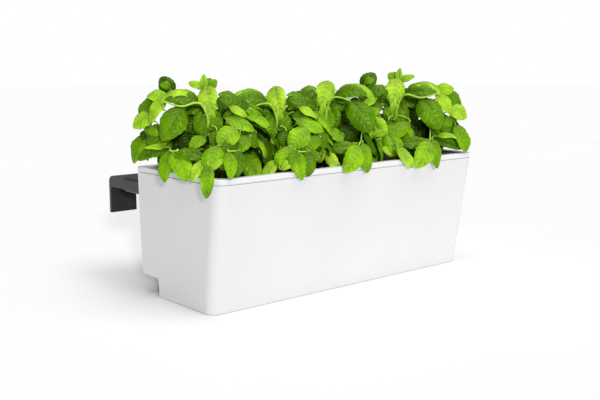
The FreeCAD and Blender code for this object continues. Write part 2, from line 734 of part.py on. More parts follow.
flt = Piece("gauge_float")
sk = flt.sketch("XZ_Plane")
fz, fh, fr = D("float_z"), D("float_high"), D("float_radius")
flt.outline(sk, [(Q(0), fz), (fr - 1, fz), (fr, fz + 1), (fr, fz + fh - 1), (fr - 1, fz + fh),
                 (D("rod_radius") + 0.05, fz + fh), (D("rod_radius") + 0.05, fz + 6), (Q(0), fz + 6)])
flt.revolve(sk)
flt.done("gauge_float", D("gauge_x"), D("gauge_y"))

rod = doc.addObject("Part::Cylinder", "gauge_rod_cyl")
bind(rod, "Radius", D("rod_radius"))
bind(rod, "Height", D("pointer_z") + 3 - (D("float_z") + 6.1))
doc.recompute()
finish_part(rod, "gauge_rod", D("gauge_x"), D("gauge_y"), D("float_z") + 6.1)

ptr = Piece("gauge_pointer")
sk = ptr.sketch("XZ_Plane")
pz, ph, pp = D("pointer_z"), D("pointer_high"), D("pointer_radius")
ptr.outline(sk, [(D("rod_radius") + 0.05, pz), (pp - 0.8, pz), (pp, pz + 0.8), (pp, pz + ph - 2), (pp - 2, pz + ph),
                 (Q(0), pz + ph), (Q(0), pz + 3.1), (D("rod_radius") + 0.05, pz + 3.1)])
ptr.revolve(sk)
ptr.done("gauge_pointer", D("gauge_x"), D("gauge_y"))

# ----------------------------------------------------------------- drain plug
# turned about the Y direction: stem through the recess wall, flange, grip blade
plug = Piece("drain_plug")
py = -n_dp + D("drain_boss")          # outer face of the boss
sk = plug.sketch("XY_Plane", D("drain_z"))
sr, pf = D("plug_radius"), D("plug_flange")
plug.outline(sk, [(Q(0), py - 13), (sr - 1.5, py - 13), (sr, py - 11), (sr, py + 2.2), (pf, py + 2.2),
                  (pf, py + 4.2), (pf - 1, py + 5.2), (Q(0), py + 5.2)])
plug.revolve(sk)
sk = plug.sketch("XY_Plane", D("drain_z") - 2)
plug.rect(sk, Q(-7.5), Q(7.5), py + 4.5, py + 13, [0, 0, Q(2.5), Q(2.5)])
plug.pad(sk, Q(4))
plug.done("drain_plug")
seal = Piece("drain_plug_seal")
sk = seal.sketch("XY_Plane", D("drain_z"))
seal.rect(sk, sr + 0.15, pf - 0.2, py + 0.3, py + 2.1)
seal.revolve(sk)
seal.done("drain_plug_seal")

# ----------------------------------------------------------------- brackets
BH = D("bracket_half")
PY0, PT = D("plate_y0"), D("plate_thick")
PY1 = PY0 + PT
SL, SH, SE = D("sleeve_low"), D("sleeve_top"), D("sleeve_end")
SW, SS = D("sleeve_wall"), D("sleeve_side")
AG = D("arm_gap")
BY, BT = D("boss_y"), D("boss_top")
for side, word in ((-1, "left"), (1, "right")):
    bx = D("bracket_x") * side
    # carrier: back plate, sleeve, foot, tongue and screw boss in one moulding
    br = Piece("bracket_" + word)
    sk = br.sketch("XZ_Plane", -PY0)
    br.rect(sk, -BH, BH, D("plate_low_z"), SH, [Q(3), Q(3), Q(4), Q(4)])
    br.pad(sk, PT, reverse=True)
    sk = br.sketch("XZ_Plane", -PY0)
    br.rect(sk, -BH, BH, SL, SH, [Q(4), Q(4), Q(4), Q(4)])
    br.pad(sk, SE - PY0, reverse=True)
    # foot under the recess ceiling
    sk = br.sketch("XY_Plane", D("plate_low_z"))
    br.rect(sk, -BH, BH, -D("foot_reach"), PY1, [Q(6), Q(6), 0, 0])
    br.pad(sk, D("foot_thick"))
    # tongue rising at 45 degrees through the slot
    sk = br.sketch("YZ_Plane")
    reach = Q(8.6)
    br.outline(sk, [(PY0 + 1, TONGUE_Z - 1.3), (PY0 + 1, TONGUE_Z + TONGUE_T - 1.3),
                    (-reach, TONGUE_Z + TONGUE_T + reach), (-reach, TONGUE_Z + reach)])
    br.pad(sk, Q(40), symmetric=True)
    # screw boss on the sleeve's top
    sk = br.sketch("XY_Plane", SH - 1)
    br.circle(sk, Q(0), BY, D("boss_radius"))
    br.pad(sk, BT - SH + 1)
    # channel for the hook's arm, open to the rear
    sk = br.sketch("XZ_Plane", -(PY1 + 0.1))
    br.rect(sk, -(BH - SS), BH - SS, SL + SW, SH - SW, Q(0.6))
    br.pocket(sk, SE - PY1 + 5)
    # recess for the pressure shoe, and the screw's bore
    sk = br.sketch("XY_Plane", SH - SW + D("shoe_thick") + 3.1)
    br.circle(sk, Q(0), BY, D("shoe_recess"))
    br.pocket(sk, D("shoe_thick") + 4.1)
    sk = br.sketch("XY_Plane", BT + 1)
    br.circle(sk, Q(0), BY, D("screw_bore"))
    br.pocket(sk, Q(8))
    # ribs between the plate and the foot
    for rx in (-22.0, 22.0):
        sk = br.sketch("YZ_Plane", Q(rx))
        br.outline(sk, [(PY1 - 0.5, D("plate_low_z") + 1), (PY1 + 1.1, D("plate_low_z") + 1), (PY1 + 1.1, SL + 1),
                        (PY1 - 0.5, SL + 1)])
        br.pad(sk, Q(3), symmetric=True)
    br.done("bracket_" + word, bx)
    # soft pad on the plate's rear face, between the ribs
    pad = Piece("wall_pad_" + word)
    sk = pad.sketch("XZ_Plane", -(PY1 + 0.02))
    pad.rect(sk, Q(-19.5), Q(19.5), Q(58), Q(122), Q(3))
    pad.pad(sk, D("pad_thick"), reverse=True)
    pad.done("wall_pad_" + word, bx)
    # hook: flat arm that slides in the sleeve, turned down behind the wall
    hk = Piece("hook_" + word)
    a_lo, a_hi = SL + SW + AG, SH - SW - AG
    li, lt, ll = D("lip_inner_y"), D("lip_thick"), D("lip_low")
    sk = hk.sketch("YZ_Plane")
    hk.outline(sk, [(D("arm_front_y"), a_lo), (li, a_lo), (li, ll), (li + lt, ll), (li + lt, a_hi),
                    (D("arm_front_y"), a_hi)], [0, Q(4), 0, Q(2), Q(12), 0])
    hk.pad(sk, (BH - SS - AG) * 2, symmetric=True)
    # two long pockets lighten the arm from below
    for sx in (-1, 1):
        sk = hk.sketch("XY_Plane", a_lo - 1)
        hk.rect(sk, *(sorted([Q(3.0) * sx, Q(22.0) * sx], key=lambda q: q.v)
                      + [D("arm_front_y") + 4, Q(112.0)]), radii=Q(2))
        hk.pocket(sk, Q(14), reverse=True)
    hk.done("hook_" + word, bx)
    # soft pad on the inside of the lip
    lp = Piece("hook_pad_" + word)
    sk = lp.sketch("XZ_Plane", -(li - D("pad_thick") - 0.02))
    lp.rect(sk, Q(-21), Q(21), ll + 3, SL - 8, Q(3))
    lp.pad(sk, D("pad_thick"), reverse=True)
    lp.done("hook_pad_" + word, bx)
    # pressure shoe on the end of the clamp screw
    sh = Piece("clamp_shoe_" + word)
    sz = SH - SW
    sk = sh.sketch("XZ_Plane")
    sr_, st_ = D("shoe_radius"), D("shoe_thick")
    sh.outline(sk, [(Q(0), sz), (sr_ - 0.6, sz), (sr_, sz + 0.6), (sr_, sz + st_), (Q(0), sz + st_)])
    sh.revolve(sk)
    sh.done("clamp_shoe_" + word, bx, BY)
    # clamp screw: shaft, collar and lobed hand knob
    sc = Piece("clamp_screw_" + word)
    kz = BT + 1.0
    kr, kh, scr = D("knob_radius"), D("knob_high"), D("screw_radius")
    sk = sc.sketch("XZ_Plane")
    sc.outline(sk, [(Q(0), sz + st_ + 0.05), (Q(2.6), sz + st_ + 0.05), (scr, sz + st_ + 1.4), (scr, kz),
                    (Q(8), kz), (kr - 1.5, kz + 1.5), (kr, kz + 3), (kr, kz + kh - 2), (kr - 2, kz + kh), (Q(0), kz + kh)])
    sc.revolve(sk)
    sk = sc.sketch("XY_Plane", kz + kh + 1)
    sc.circle(sk, kr + 2.2, Q(0), Q(4.6))
    notch = sc.pocket(sk, kh + 2)
    sc.polar(notch, 6, 300)
    sc.done("clamp_screw_" + word, bx, BY)

doc.recompute()

# ----------------------------------------------------------------- check and write
bad = []
for o in doc.Objects:
    if "Invalid" in o.State or "Error" in o.State:
        bad.append("%s (%s) %s" % (o.Name, o.Label, o.State))
for o in FINAL:
    if o.Shape.isNull() or not o.Shape.isValid():
        bad.append("shape of " + o.Label)
if bad:
    raise RuntimeError("failed objects: " + "; ".join(bad))

os.makedirs("parts", exist_ok=True)
for o in FINAL:
    o.Shape.exportStep("parts/%s.step" % o.Label)
    b = o.Shape.BoundBox
    print("%-20s solids %d vol %9.1f  x %7.1f %7.1f  y %7.1f %7.1f  z %6.1f %6.1f" % (
        o.Label, len(o.Shape.Solids), o.Shape.Volume, b.XMin, b.XMax, b.YMin, b.YMax, b.ZMin, b.ZMax))
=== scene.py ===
import bpy
import bmesh
import math
import random
import json
import numpy as np
from mathutils import Vector, Matrix


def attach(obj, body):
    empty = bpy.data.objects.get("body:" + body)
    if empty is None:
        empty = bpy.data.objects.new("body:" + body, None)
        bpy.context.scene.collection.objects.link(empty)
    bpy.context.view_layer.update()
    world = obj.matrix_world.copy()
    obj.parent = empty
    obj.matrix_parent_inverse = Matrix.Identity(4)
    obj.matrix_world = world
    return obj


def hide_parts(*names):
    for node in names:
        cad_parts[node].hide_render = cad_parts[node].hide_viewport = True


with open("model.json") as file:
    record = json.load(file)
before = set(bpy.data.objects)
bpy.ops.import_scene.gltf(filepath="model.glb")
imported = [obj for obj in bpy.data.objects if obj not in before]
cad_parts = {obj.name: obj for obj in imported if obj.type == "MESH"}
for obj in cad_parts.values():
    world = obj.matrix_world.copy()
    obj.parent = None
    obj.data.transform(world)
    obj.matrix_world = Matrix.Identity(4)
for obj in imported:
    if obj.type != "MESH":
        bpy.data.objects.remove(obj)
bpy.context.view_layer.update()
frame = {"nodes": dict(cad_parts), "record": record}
N = frame["nodes"]
scene = bpy.context.scene
COLL = scene.collection

# ------------------------------------------------------------------ camera
YAW, PITCH = math.radians(40.759), math.radians(9.299)
REAR = 0.039                       # y of the trough's rear face
FWD = Vector((math.sin(YAW) * math.cos(PITCH), math.cos(YAW) * math.cos(PITCH), -math.sin(PITCH)))
CAM_AT = Vector((-1.0265, -1.2593 + REAR, 0.3889))
RIGHT = Vector((math.cos(YAW), -math.sin(YAW), 0.0))       # level, to the picture's right
TOWARD = Vector((-math.sin(YAW), -math.cos(YAW), 0.0))     # level, towards the viewer
UP = Vector((0, 0, 1))

cam_data = bpy.data.cameras.new("camera")
cam = bpy.data.objects.new("camera", cam_data)
COLL.objects.link(cam)
cam_data.sensor_width = 36.0
cam_data.lens = 53.48
cam_data.clip_start = 0.05
cam_data.clip_end = 60
cam.location = CAM_AT
cam.rotation_euler = FWD.to_track_quat("-Z", "Y").to_euler()
scene.camera = cam

# ------------------------------------------------------------------ light
world = bpy.data.worlds.new("studio")
scene.world = world
world.use_nodes = True
bg = world.node_tree.nodes["Background"]
bg.inputs["Color"].default_value = (1.0, 1.0, 1.0, 1)
bg.inputs["Strength"].default_value = 0.78
scene.view_settings.view_transform = "Standard"
scene.view_settings.look = "None"
scene.view_settings.exposure = 0.0


lp = world.node_tree.nodes.new("ShaderNodeLightPath")
mixw = world.node_tree.nodes.new("ShaderNodeMapRange")
mixw.inputs["To Min"].default_value = 0.20      # light on the object
mixw.inputs["To Max"].default_value = 1.0       # plain white behind it
world.node_tree.links.new(lp.outputs["Is Camera Ray"], mixw.inputs["Value"])
world.node_tree.links.new(mixw.outputs["Result"], bg.inputs["Strength"])


def sun(name, from_dir, strength, angle):
    d = bpy.data.lights.new(name, "SUN")
    d.energy = strength
    d.angle = math.radians(angle)
    o = bpy.data.objects.new(name, d)
    o.rotation_euler = Vector(from_dir).to_track_quat("Z", "Y").to_euler()
    COLL.objects.link(o)
    return o


sun("key", (-0.44, -0.84, 0.27), 1.48, 5)
sun("top", (0.05, -0.25, 1.0), 2.20, 60)

# ------------------------------------------------------------------ node helpers


class Mat(object):
    """A small helper for building a Principled material."""

    def __init__(self, name):
        self.m = bpy.data.materials.new(name)
        self.m.use_nodes = True
        self.t = self.m.node_tree
        self.b = self.t.nodes["Principled BSDF"]

    def node(self, kind, **props):
        n = self.t.nodes.new(kind)
        for k, v in props.items():
            setattr(n, k, v)
        return n

    def link(self, a, b):
        self.t.links.new(a, b)

    def set(self, **values):
        for k, v in values.items():
            self.b.inputs[k.replace("_", " ")].default_value = v
        return self

    def coords(self, scale=1.0):
        tc = self.node("ShaderNodeTexCoord")
        mp = self.node("ShaderNodeMapping")
        mp.inputs["Scale"].default_value = (scale,) * 3 if not isinstance(scale, (tuple, list)) else scale
        self.link(tc.outputs["Object"], mp.inputs["Vector"])
        return mp.outputs["Vector"]

    def noise(self, scale, detail=3.0, rough=0.5, vec=None):
        n = self.node("ShaderNodeTexNoise")
        n.inputs["Scale"].default_value = scale
        n.inputs["Detail"].default_value = detail
        n.inputs["Roughness"].default_value = rough
        self.link(vec if vec is not None else self.coords(), n.inputs["Vector"])
        return n.outputs["Fac"]

    def ramp(self, fac, stops):
        r = self.node("ShaderNodeValToRGB")
        el = r.color_ramp.elements
        while len(el) < len(stops):
            el.new(0.5)
        for e, (p, c) in zip(el, stops):
            e.position = p
            e.color = (c[0], c[1], c[2], 1)
        self.link(fac, r.inputs["Fac"])
        return r.outputs["Color"]

    def map(self, fac, lo, hi, a=0.0, b=1.0):
        r = self.node("ShaderNodeMapRange")
        r.inputs["From Min"].default_value = a
        r.inputs["From Max"].default_value = b
        r.inputs["To Min"].default_value = lo
        r.inputs["To Max"].default_value = hi
        self.link(fac, r.inputs["Value"])
        return r.outputs["Result"]

    def bump(self, height, strength, distance, normal=None):
        b = self.node("ShaderNodeBump")
        b.inputs["Strength"].default_value = strength
        b.inputs["Distance"].default_value = distance
        self.link(height, b.inputs["Height"])
        if normal is not None:
            self.link(normal, b.inputs["Normal"])
        return b.outputs["Normal"]

    def to(self, socket, what):
        self.link(what, self.b.inputs[socket])


def gloss_white(name, lo, hi, rough_lo, rough_hi, speck=0.0):
    """Moulded glossy plastic: faint orange peel, slight tone drift, fine dust in the gloss."""
    m = Mat(name)
    v = m.coords()
    drift = m.noise(5.0, 3.0, 0.5, v)
    m.to("Base Color", m.ramp(drift, [(0.3, lo), (0.7, hi)]))
    fine = m.noise(260.0, 2.0, 0.5, v)
    haze = m.noise(38.0, 4.0, 0.6, v)
    m.to("Roughness", m.map(haze, rough_lo, rough_hi, 0.3, 0.7))
    n1 = m.bump(fine, 0.10, 0.0004)
    n2 = m.bump(m.noise(24.0, 1.0, 0.5, v), 0.08, 0.0012, n1)
    m.to("Normal", n2)
    m.set(IOR=1.49, Specular_IOR_Level=0.5)
    return m.m


def satin(name, lo, hi, rough_lo, rough_hi, grain=900.0, strength=0.25, depth=0.0003, scratch=True, spec=0.5):
    """Grained moulded plastic: spark-eroded texture and rubbed patches."""
    m = Mat(name)
    v = m.coords()
    m.to("Base Color", m.ramp(m.noise(30.0, 4.0, 0.6, v), [(0.3, lo), (0.75, hi)]))
    m.to("Roughness", m.map(m.noise(55.0, 4.0, 0.6, v), rough_lo, rough_hi, 0.3, 0.7))
    vo = m.node("ShaderNodeTexVoronoi")
    vo.inputs["Scale"].default_value = grain
    m.link(v, vo.inputs["Vector"])
    n1 = m.bump(vo.outputs["Distance"], strength, depth)
    if scratch:
        v2 = m.coords((1.0, 40.0, 40.0))
        n1 = m.bump(m.noise(18.0, 2.0, 0.4, v2), 0.06, 0.0003, n1)
    m.to("Normal", n1)
    m.set(IOR=1.5, Specular_IOR_Level=spec)
    return m.m


def soil_mat():
    m = Mat("potting_soil")
    v = m.coords()
    clumps = m.noise(120.0, 8.0, 0.75, v)
    # colour follows the same clump noise as the bump below: the dark-to-light brown range is the soil's own, and
    # putting the darkest in the hollows between clumps is painted shade
    m.to("Base Color", m.ramp(clumps, [(0.30, (0.012, 0.007, 0.004)), (0.5, (0.035, 0.020, 0.011)),
                                       (0.68, (0.085, 0.052, 0.030)), (0.80, (0.16, 0.11, 0.07))]))
    m.to("Roughness", m.map(clumps, 0.95, 0.75, 0.3, 0.7))
    vo = m.node("ShaderNodeTexVoronoi")
    vo.inputs["Scale"].default_value = 240.0
    m.link(v, vo.inputs["Vector"])
    n1 = m.bump(clumps, 0.9, 0.003)
    m.to("Normal", m.bump(vo.outputs["Distance"], 0.6, 0.0015, n1))
    return m.m


def crumb_mat(name, lo, hi):
    m = Mat(name)
    v = m.coords()
    m.to("Base Color", m.ramp(m.noise(400.0, 3.0, 0.7, v), [(0.3, lo), (0.7, hi)]))
    m.to("Roughness", m.map(m.noise(300.0, 2.0, 0.5, v), 0.75, 0.95))
    m.to("Normal", m.bump(m.noise(900.0, 3.0, 0.7, v), 0.8, 0.0006))
    return m.m


def metal_mat():
    m = Mat("brushed_steel")
    v = m.coords((1.0, 1.0, 30.0))
    br = m.noise(60.0, 4.0, 0.6, v)
    m.to("Base Color", m.ramp(br, [(0.3, (0.42, 0.42, 0.43)), (0.7, (0.62, 0.62, 0.63))]))
    m.to("Roughness", m.map(br, 0.25, 0.42, 0.3, 0.7))
    m.to("Normal", m.bump(br, 0.15, 0.0003))
    m.set(Metallic=1.0)
    return m.m


def clear_mat():
    m = Mat("clear_lens")
    v = m.coords()
    m.set(Transmission_Weight=0.92, IOR=1.49, Base_Color=(0.93, 0.96, 0.97, 1))
    m.to("Roughness", m.map(m.noise(90.0, 3.0, 0.6, v), 0.03, 0.10, 0.3, 0.7))
    m.to("Normal", m.bump(m.noise(60.0, 1.0, 0.5, v), 0.04, 0.0005))
    return m.m


def leaf_mat():
    """Living basil leaf: tone per leaf, partly painted shade and light, pale veins, blade puffed between them, paler
    matte underside.
    """
    m = Mat("basil_leaf")

    def attr(n):
        return m.node("ShaderNodeAttribute", attribute_name=n).outputs["Fac"]

    def op(kind, a, b=None, c=None):
        n = m.node("ShaderNodeMath", operation=kind)
        for i, q in enumerate((a, b, c)):
            if q is None:
                continue
            if isinstance(q, (int, float)):
                n.inputs[i].default_value = q
            else:
                m.link(q, n.inputs[i])
        return n.outputs[0]

    tone, under, lu, lw = attr("tone"), attr("under"), attr("lu"), attr("lw")
    v = m.coords()
    w = op("ABSOLUTE", lw)
    wob = m.map(m.noise(140.0, 2.0, 0.5, v), -0.22, 0.22)
    q = op("ADD", op("SUBTRACT", op("MULTIPLY", lu, 6.0), op("MULTIPLY", w, 1.15)), wob)
    cell = op("ABSOLUTE", op("SINE", op("MULTIPLY", q, math.pi)))
    side = op("MULTIPLY", m.map(cell, 1.0, 0.0, 0.0, 0.24), m.map(w, 1.0, 0.0, 0.25, 0.92))
    rib = m.map(op("DIVIDE", w, op("MULTIPLY_ADD", lu, -0.065, 0.095)), 1.0, 0.0, 0.35, 1.0)
    net = m.node("ShaderNodeTexVoronoi", feature="DISTANCE_TO_EDGE")
    net.inputs["Scale"].default_value = 420.0
    m.link(v, net.inputs["Vector"])
    fine = m.map(net.outputs["Distance"], 0.30, 0.0, 0.0, 0.10)
    vein = op("MAXIMUM", op("MAXIMUM", op("MULTIPLY", side, 0.62), rib), fine)
    # green from the leaf's tone: partly the leaf's own green, partly painted shade and light (dark tones for leaves in
    # shade, pale ones for lit leaves)
    top = m.ramp(tone, [(0.0, (0.013, 0.038, 0.000)), (0.22, (0.045, 0.125, 0.000)), (0.45, (0.120, 0.300, 0.000)),
                        (0.70, (0.270, 0.570, 0.001)), (1.0, (0.540, 0.860, 0.050))])
    blot = m.noise(55.0, 4.0, 0.6, v)
    mx = m.node("ShaderNodeMix", data_type="RGBA", blend_type="MULTIPLY")
    mx.inputs["Factor"].default_value = 0.85
    m.link(top, mx.inputs[6])
    m.link(m.ramp(blot, [(0.30, (0.46, 0.55, 0.35)), (0.50, (0.95, 0.96, 0.90)), (0.72, (1.36, 1.20, 1.1))]), mx.inputs[7])
    # painted shade and highlight: darker towards the stalk, the midrib and the veins, brighter on each puff and
    # towards the margin
    mz = m.node("ShaderNodeMix", data_type="RGBA", blend_type="MULTIPLY")
    mz.inputs["Factor"].default_value = 1.0
    m.link(mx.outputs[2], mz.inputs[6])
    shade = op("MULTIPLY", op("MULTIPLY", m.map(cell, 0.92, 1.05, 0.0, 0.9), m.map(lu, 0.66, 1.08, 0.0, 0.45)), m.map(w, 0.90, 1.12, 0.05, 1.0))
    grey = m.node("ShaderNodeCombineColor")
    for i in range(3):
        m.link(shade, grey.inputs[i])
    m.link(grey.outputs[0], mz.inputs[7])
    mv = m.node("ShaderNodeMix", data_type="RGBA", blend_type="MIX")
    m.link(m.map(vein, 0.0, 0.55), mv.inputs[0])
    m.link(mz.outputs[2], mv.inputs[6])
    pale = m.ramp(tone, [(0.0, (0.07, 0.15, 0.01)), (0.5, (0.30, 0.50, 0.03)), (1.0, (0.62, 0.84, 0.16))])
    m.link(pale, mv.inputs[7])
    mu = m.node("ShaderNodeMix", data_type="RGBA", blend_type="MIX")
    m.link(m.map(under, 0.0, 0.40), mu.inputs[0])
    m.link(mv.outputs[2], mu.inputs[6])
    mu.inputs[7].default_value = (0.20, 0.36, 0.05, 1)
    m.to("Base Color", mu.outputs[2])
    m.to("Roughness", op("ADD", m.map(m.noise(90.0, 3.0, 0.6, v), 0.22, 0.36, 0.3, 0.7), m.map(under, 0.0, 0.30)))
    height = op("SUBTRACT", op("MULTIPLY", op("POWER", cell, 0.6), m.map(w, 1.0, 0.0, 0.55, 1.0)), op("MULTIPLY", rib, 0.7))
    n1 = m.bump(height, 0.50, 0.0012)
    n2 = m.bump(m.noise(120.0, 2.0, 0.5, v), 0.35, 0.0016, n1)
    m.to("Normal", n2)
    m.set(IOR=1.45, Specular_IOR_Level=0.42, Subsurface_Weight=0.06, Subsurface_Scale=0.003)
    m.b.inputs["Specular Tint"].default_value = (0.80, 1.0, 0.40, 1)
    m.b.inputs["Subsurface Radius"].default_value = (0.5, 1.0, 0.2)
    # a little light passes through the blade
    tr = m.node("ShaderNodeBsdfTranslucent")
    m.link(mv.outputs[2], tr.inputs["Color"])
    sh = m.node("ShaderNodeMixShader")
    sh.inputs["Fac"].default_value = 0.22
    out = m.t.nodes["Material Output"]
    m.link(m.b.outputs[0], sh.inputs[1])
    m.link(tr.outputs[0], sh.inputs[2])
    m.link(sh.outputs[0], out.inputs["Surface"])
    return m.m


def stem_mat():
    m = Mat("basil_stem")
    v = m.coords()
    m.to("Base Color", m.ramp(m.noise(90.0, 4.0, 0.6, v), [(0.3, (0.28, 0.50, 0.02)), (0.6, (0.46, 0.72, 0.07)),
                                                           (0.8, (0.60, 0.80, 0.20))]))
    m.to("Roughness", m.map(m.noise(200.0, 3.0, 0.5, v), 0.35, 0.6))
    m.to("Normal", m.bump(m.noise(500.0, 3.0, 0.6, m.coords((1, 1, 0.15))), 0.4, 0.0005))
    m.set(Subsurface_Weight=0.1, Subsurface_Scale=0.003)
    return m.m


M_SHELL = gloss_white("white_shell", (0.735, 0.73, 0.735), (0.775, 0.77, 0.775), 0.12, 0.22)
M_LINER = gloss_white("white_liner", (0.778, 0.778, 0.782), (0.796, 0.796, 0.797), 0.275, 0.30)
M_GREY = satin("grey_insert", (0.28, 0.29, 0.30), (0.36, 0.37, 0.38), 0.38, 0.55)
M_WICK = satin("wick_grey", (0.020, 0.020, 0.022), (0.035, 0.035, 0.037), 0.5, 0.7)
M_BLACK = satin("bracket_black", (0.026, 0.026, 0.0265), (0.042, 0.042, 0.0425), 0.24, 0.38, spec=0.30)
M_RUB = satin("pad_rubber", (0.014, 0.014, 0.014), (0.03, 0.03, 0.03), 0.75, 0.92, grain=420.0, strength=0.5, scratch=False)
M_FLOAT = satin("float_white", (0.68, 0.68, 0.66), (0.78, 0.78, 0.76), 0.7, 0.9, grain=350.0, strength=0.5, scratch=False)
M_RED = satin("pointer_red", (0.45, 0.012, 0.010), (0.58, 0.025, 0.02), 0.2, 0.3, scratch=False)
M_SOIL = soil_mat()
M_STEEL = metal_mat()
M_CLEAR = clear_mat()
M_LEAF = leaf_mat()
M_STEM = stem_mat()

SLOT_MAT = {"white_shell": M_SHELL, "white_liner": M_LINER, "grey_insert": M_GREY, "wick_grey": M_WICK, "soil": M_SOIL,
            "stem_green": M_STEM, "leaf_green": M_LEAF, "clear_lens": M_CLEAR, "float_white": M_FLOAT,
            "pointer_red": M_RED, "steel": M_STEEL, "bracket_black": M_BLACK, "pad_rubber": M_RUB}
for sp in frame["record"]["subparts"]:
    ob = N[sp["node"]]
    if not ob.material_slots:
        ob.data.materials.append(None)
    for s in ob.material_slots:
        s.material = SLOT_MAT[sp["material_slot"]]

# ------------------------------------------------------------------ mesh helpers


def new_object(name, verts, faces, mats, attrs=None, smooth=True, face_mats=None, sharp=False):
    me = bpy.data.meshes.new(name)
    me.from_pydata([tuple(v) for v in verts], [], faces)
    me.update()
    ob = bpy.data.objects.new(name, me)
    COLL.objects.link(ob)
    for mt in mats:
        me.materials.append(mt)
    if smooth:
        me.polygons.foreach_set("use_smooth", [True] * len(me.polygons))
    if face_mats is not None:
        me.polygons.foreach_set("material_index", face_mats)
    for key, values in (attrs or {}).items():
        a = me.attributes.new(key, "FLOAT", "POINT")
        a.data.foreach_set("value", np.asarray(values, np.float32))
    if sharp:
        me.set_sharp_from_angle(angle=math.radians(50))
    me.update()
    return ob


def leaf_points(base, tip, width, normal, arch=0.25, fold=0.25, droop=0.5, ruffle=0.05, curl=0.0, veins=6.0,
                phase=0.0, thick=0.0007, bend=0.0, twist=0.0, nu=24, nv=12):
    """One leaf as a thin closed solid. Returns verts, faces, place along, place across, under."""
    base, tip, normal = Vector(base), Vector(tip), Vector(normal)
    axis = tip - base
    length = axis.length
    y = axis.normalized()
    z = (normal - y * normal.dot(y))
    if z.length < 1e-4:
        z = y.orthogonal()
    z.normalize()
    x = y.cross(z)
    base, x, y, z = (np.array(q) for q in (base, x, y, z))
    # midrib: starts rising, bends over towards the tip
    n = 64
    sm = (np.arange(n) + 0.5) / n
    ang = arch * 1.25 - 2.5 * arch * sm ** 1.15 - curl * np.maximum(0.0, sm - 0.55) ** 1.5 * 6.0
    py = np.concatenate([[0], np.cumsum(np.cos(ang) / n)])
    pz = np.concatenate([[0], np.cumsum(np.sin(ang) / n)])
    ch = math.hypot(py[-1], pz[-1])
    c, s_ = py[-1] / ch, pz[-1] / ch
    ry = (py * c + pz * s_) / ch * length
    rz = (-py * s_ + pz * c) / ch * length
    t = np.linspace(0.0, 1.0, nu + 1)
    ts = 0.5 * (t + t ** 0.8)
    my = np.interp(ts * n, np.arange(n + 1), ry)
    mz = np.interp(ts * n, np.arange(n + 1), rz)
    dy, dz = np.gradient(my), np.gradient(mz)
    dl = np.hypot(dy, dz) + 1e-9
    ty, tz = (dy / dl)[:, None], (dz / dl)[:, None]
    a_, b_ = 0.50, 0.64
    tm = a_ / (a_ + b_)
    prof = (ts ** a_) * ((1 - ts) ** b_) / ((tm ** a_) * ((1 - tm) ** b_))
    half = (np.maximum(prof, 0.012) * width * 0.5)[:, None]
    v = np.linspace(-1.0, 1.0, nv + 1)[None, :]
    w = np.abs(v)
    T = ts[:, None]
    sgn = np.where(v > 0, 1.0, -1.0)
    edge = np.sin(math.pi * np.minimum(1.0, T * 1.02 + 0.01))
    xx = v * half * (1.0 - 0.10 * droop * w * w)
    # a wavy, faintly toothed margin
    xx = xx * (1 + 0.035 * w ** 4 * np.sin(2 * math.pi * (5.5 * T + phase + 0.2 * sgn)) * edge)
    q = T * veins - w * 1.15
    cell = np.abs(np.sin(math.pi * q))
    puff = cell ** 0.7 * np.sin(math.pi * np.clip(w, 0.0, 1.0)) ** 0.7
    zz = half * (fold * w - droop * w * w) + width * 0.030 * puff * (1 - 0.4 * T)
    zz = zz + ruffle * width * np.sin(2 * math.pi * (1.6 * T + 0.37 * (v > 0) + phase)) * w ** 3 * edge
    tw = twist * (T - 0.3)
    xr, zr = xx * np.cos(tw) - zz * np.sin(tw), xx * np.sin(tw) + zz * np.cos(tw)
    xr = xr + bend * length * np.sin(math.pi * T ** 1.2)
    P = base + xr[..., None] * x + (my[:, None] - tz * zr)[..., None] * y + (mz[:, None] + ty * zr)[..., None] * z
    du, dv = np.gradient(P, axis=0), np.gradient(P, axis=1)
    nn = np.cross(dv, du)
    nn = nn / (np.linalg.norm(nn, axis=2)[..., None] + 1e-12)
    flip = np.sign(np.sum(nn * z, axis=2))
    nn = nn * np.where(np.median(flip) < 0, -1.0, 1.0)
    th = thick * (1 + 1.2 * np.exp(-(w / 0.12) ** 2) * (1 - T))
    tp = (P + nn * (th * 0.5)[..., None]).reshape(-1, 3)
    bt = (P - nn * (th * 0.5)[..., None]).reshape(-1, 3)
    off = len(tp)
    faces = []
    W = nv + 1
    for i in range(nu):
        for j in range(nv):
            a = i * W + j
            b = a + 1
            d = a + W
            e = d + 1
            faces.append((a, b, e, d))
            faces.append((off + a, off + d, off + e, off + b))
    ring = [j for j in range(nv + 1)] + [i * W + nv for i in range(1, nu + 1)] \
        + [nu * W + j for j in range(nv - 1, -1, -1)] + [i * W for i in range(nu - 1, 0, -1)]
    for k in range(len(ring)):
        a, b = ring[k], ring[(k + 1) % len(ring)]
        faces.append((b, a, off + a, off + b))
    lu = np.broadcast_to(T, (nu + 1, nv + 1)).reshape(-1)
    lw = np.broadcast_to(v, (nu + 1, nv + 1)).reshape(-1)
    verts = [Vector(p) for p in tp] + [Vector(p) for p in bt]
    return verts, faces, list(lu) * 2, list(lw) * 2, [0.0] * off + [1.0] * off


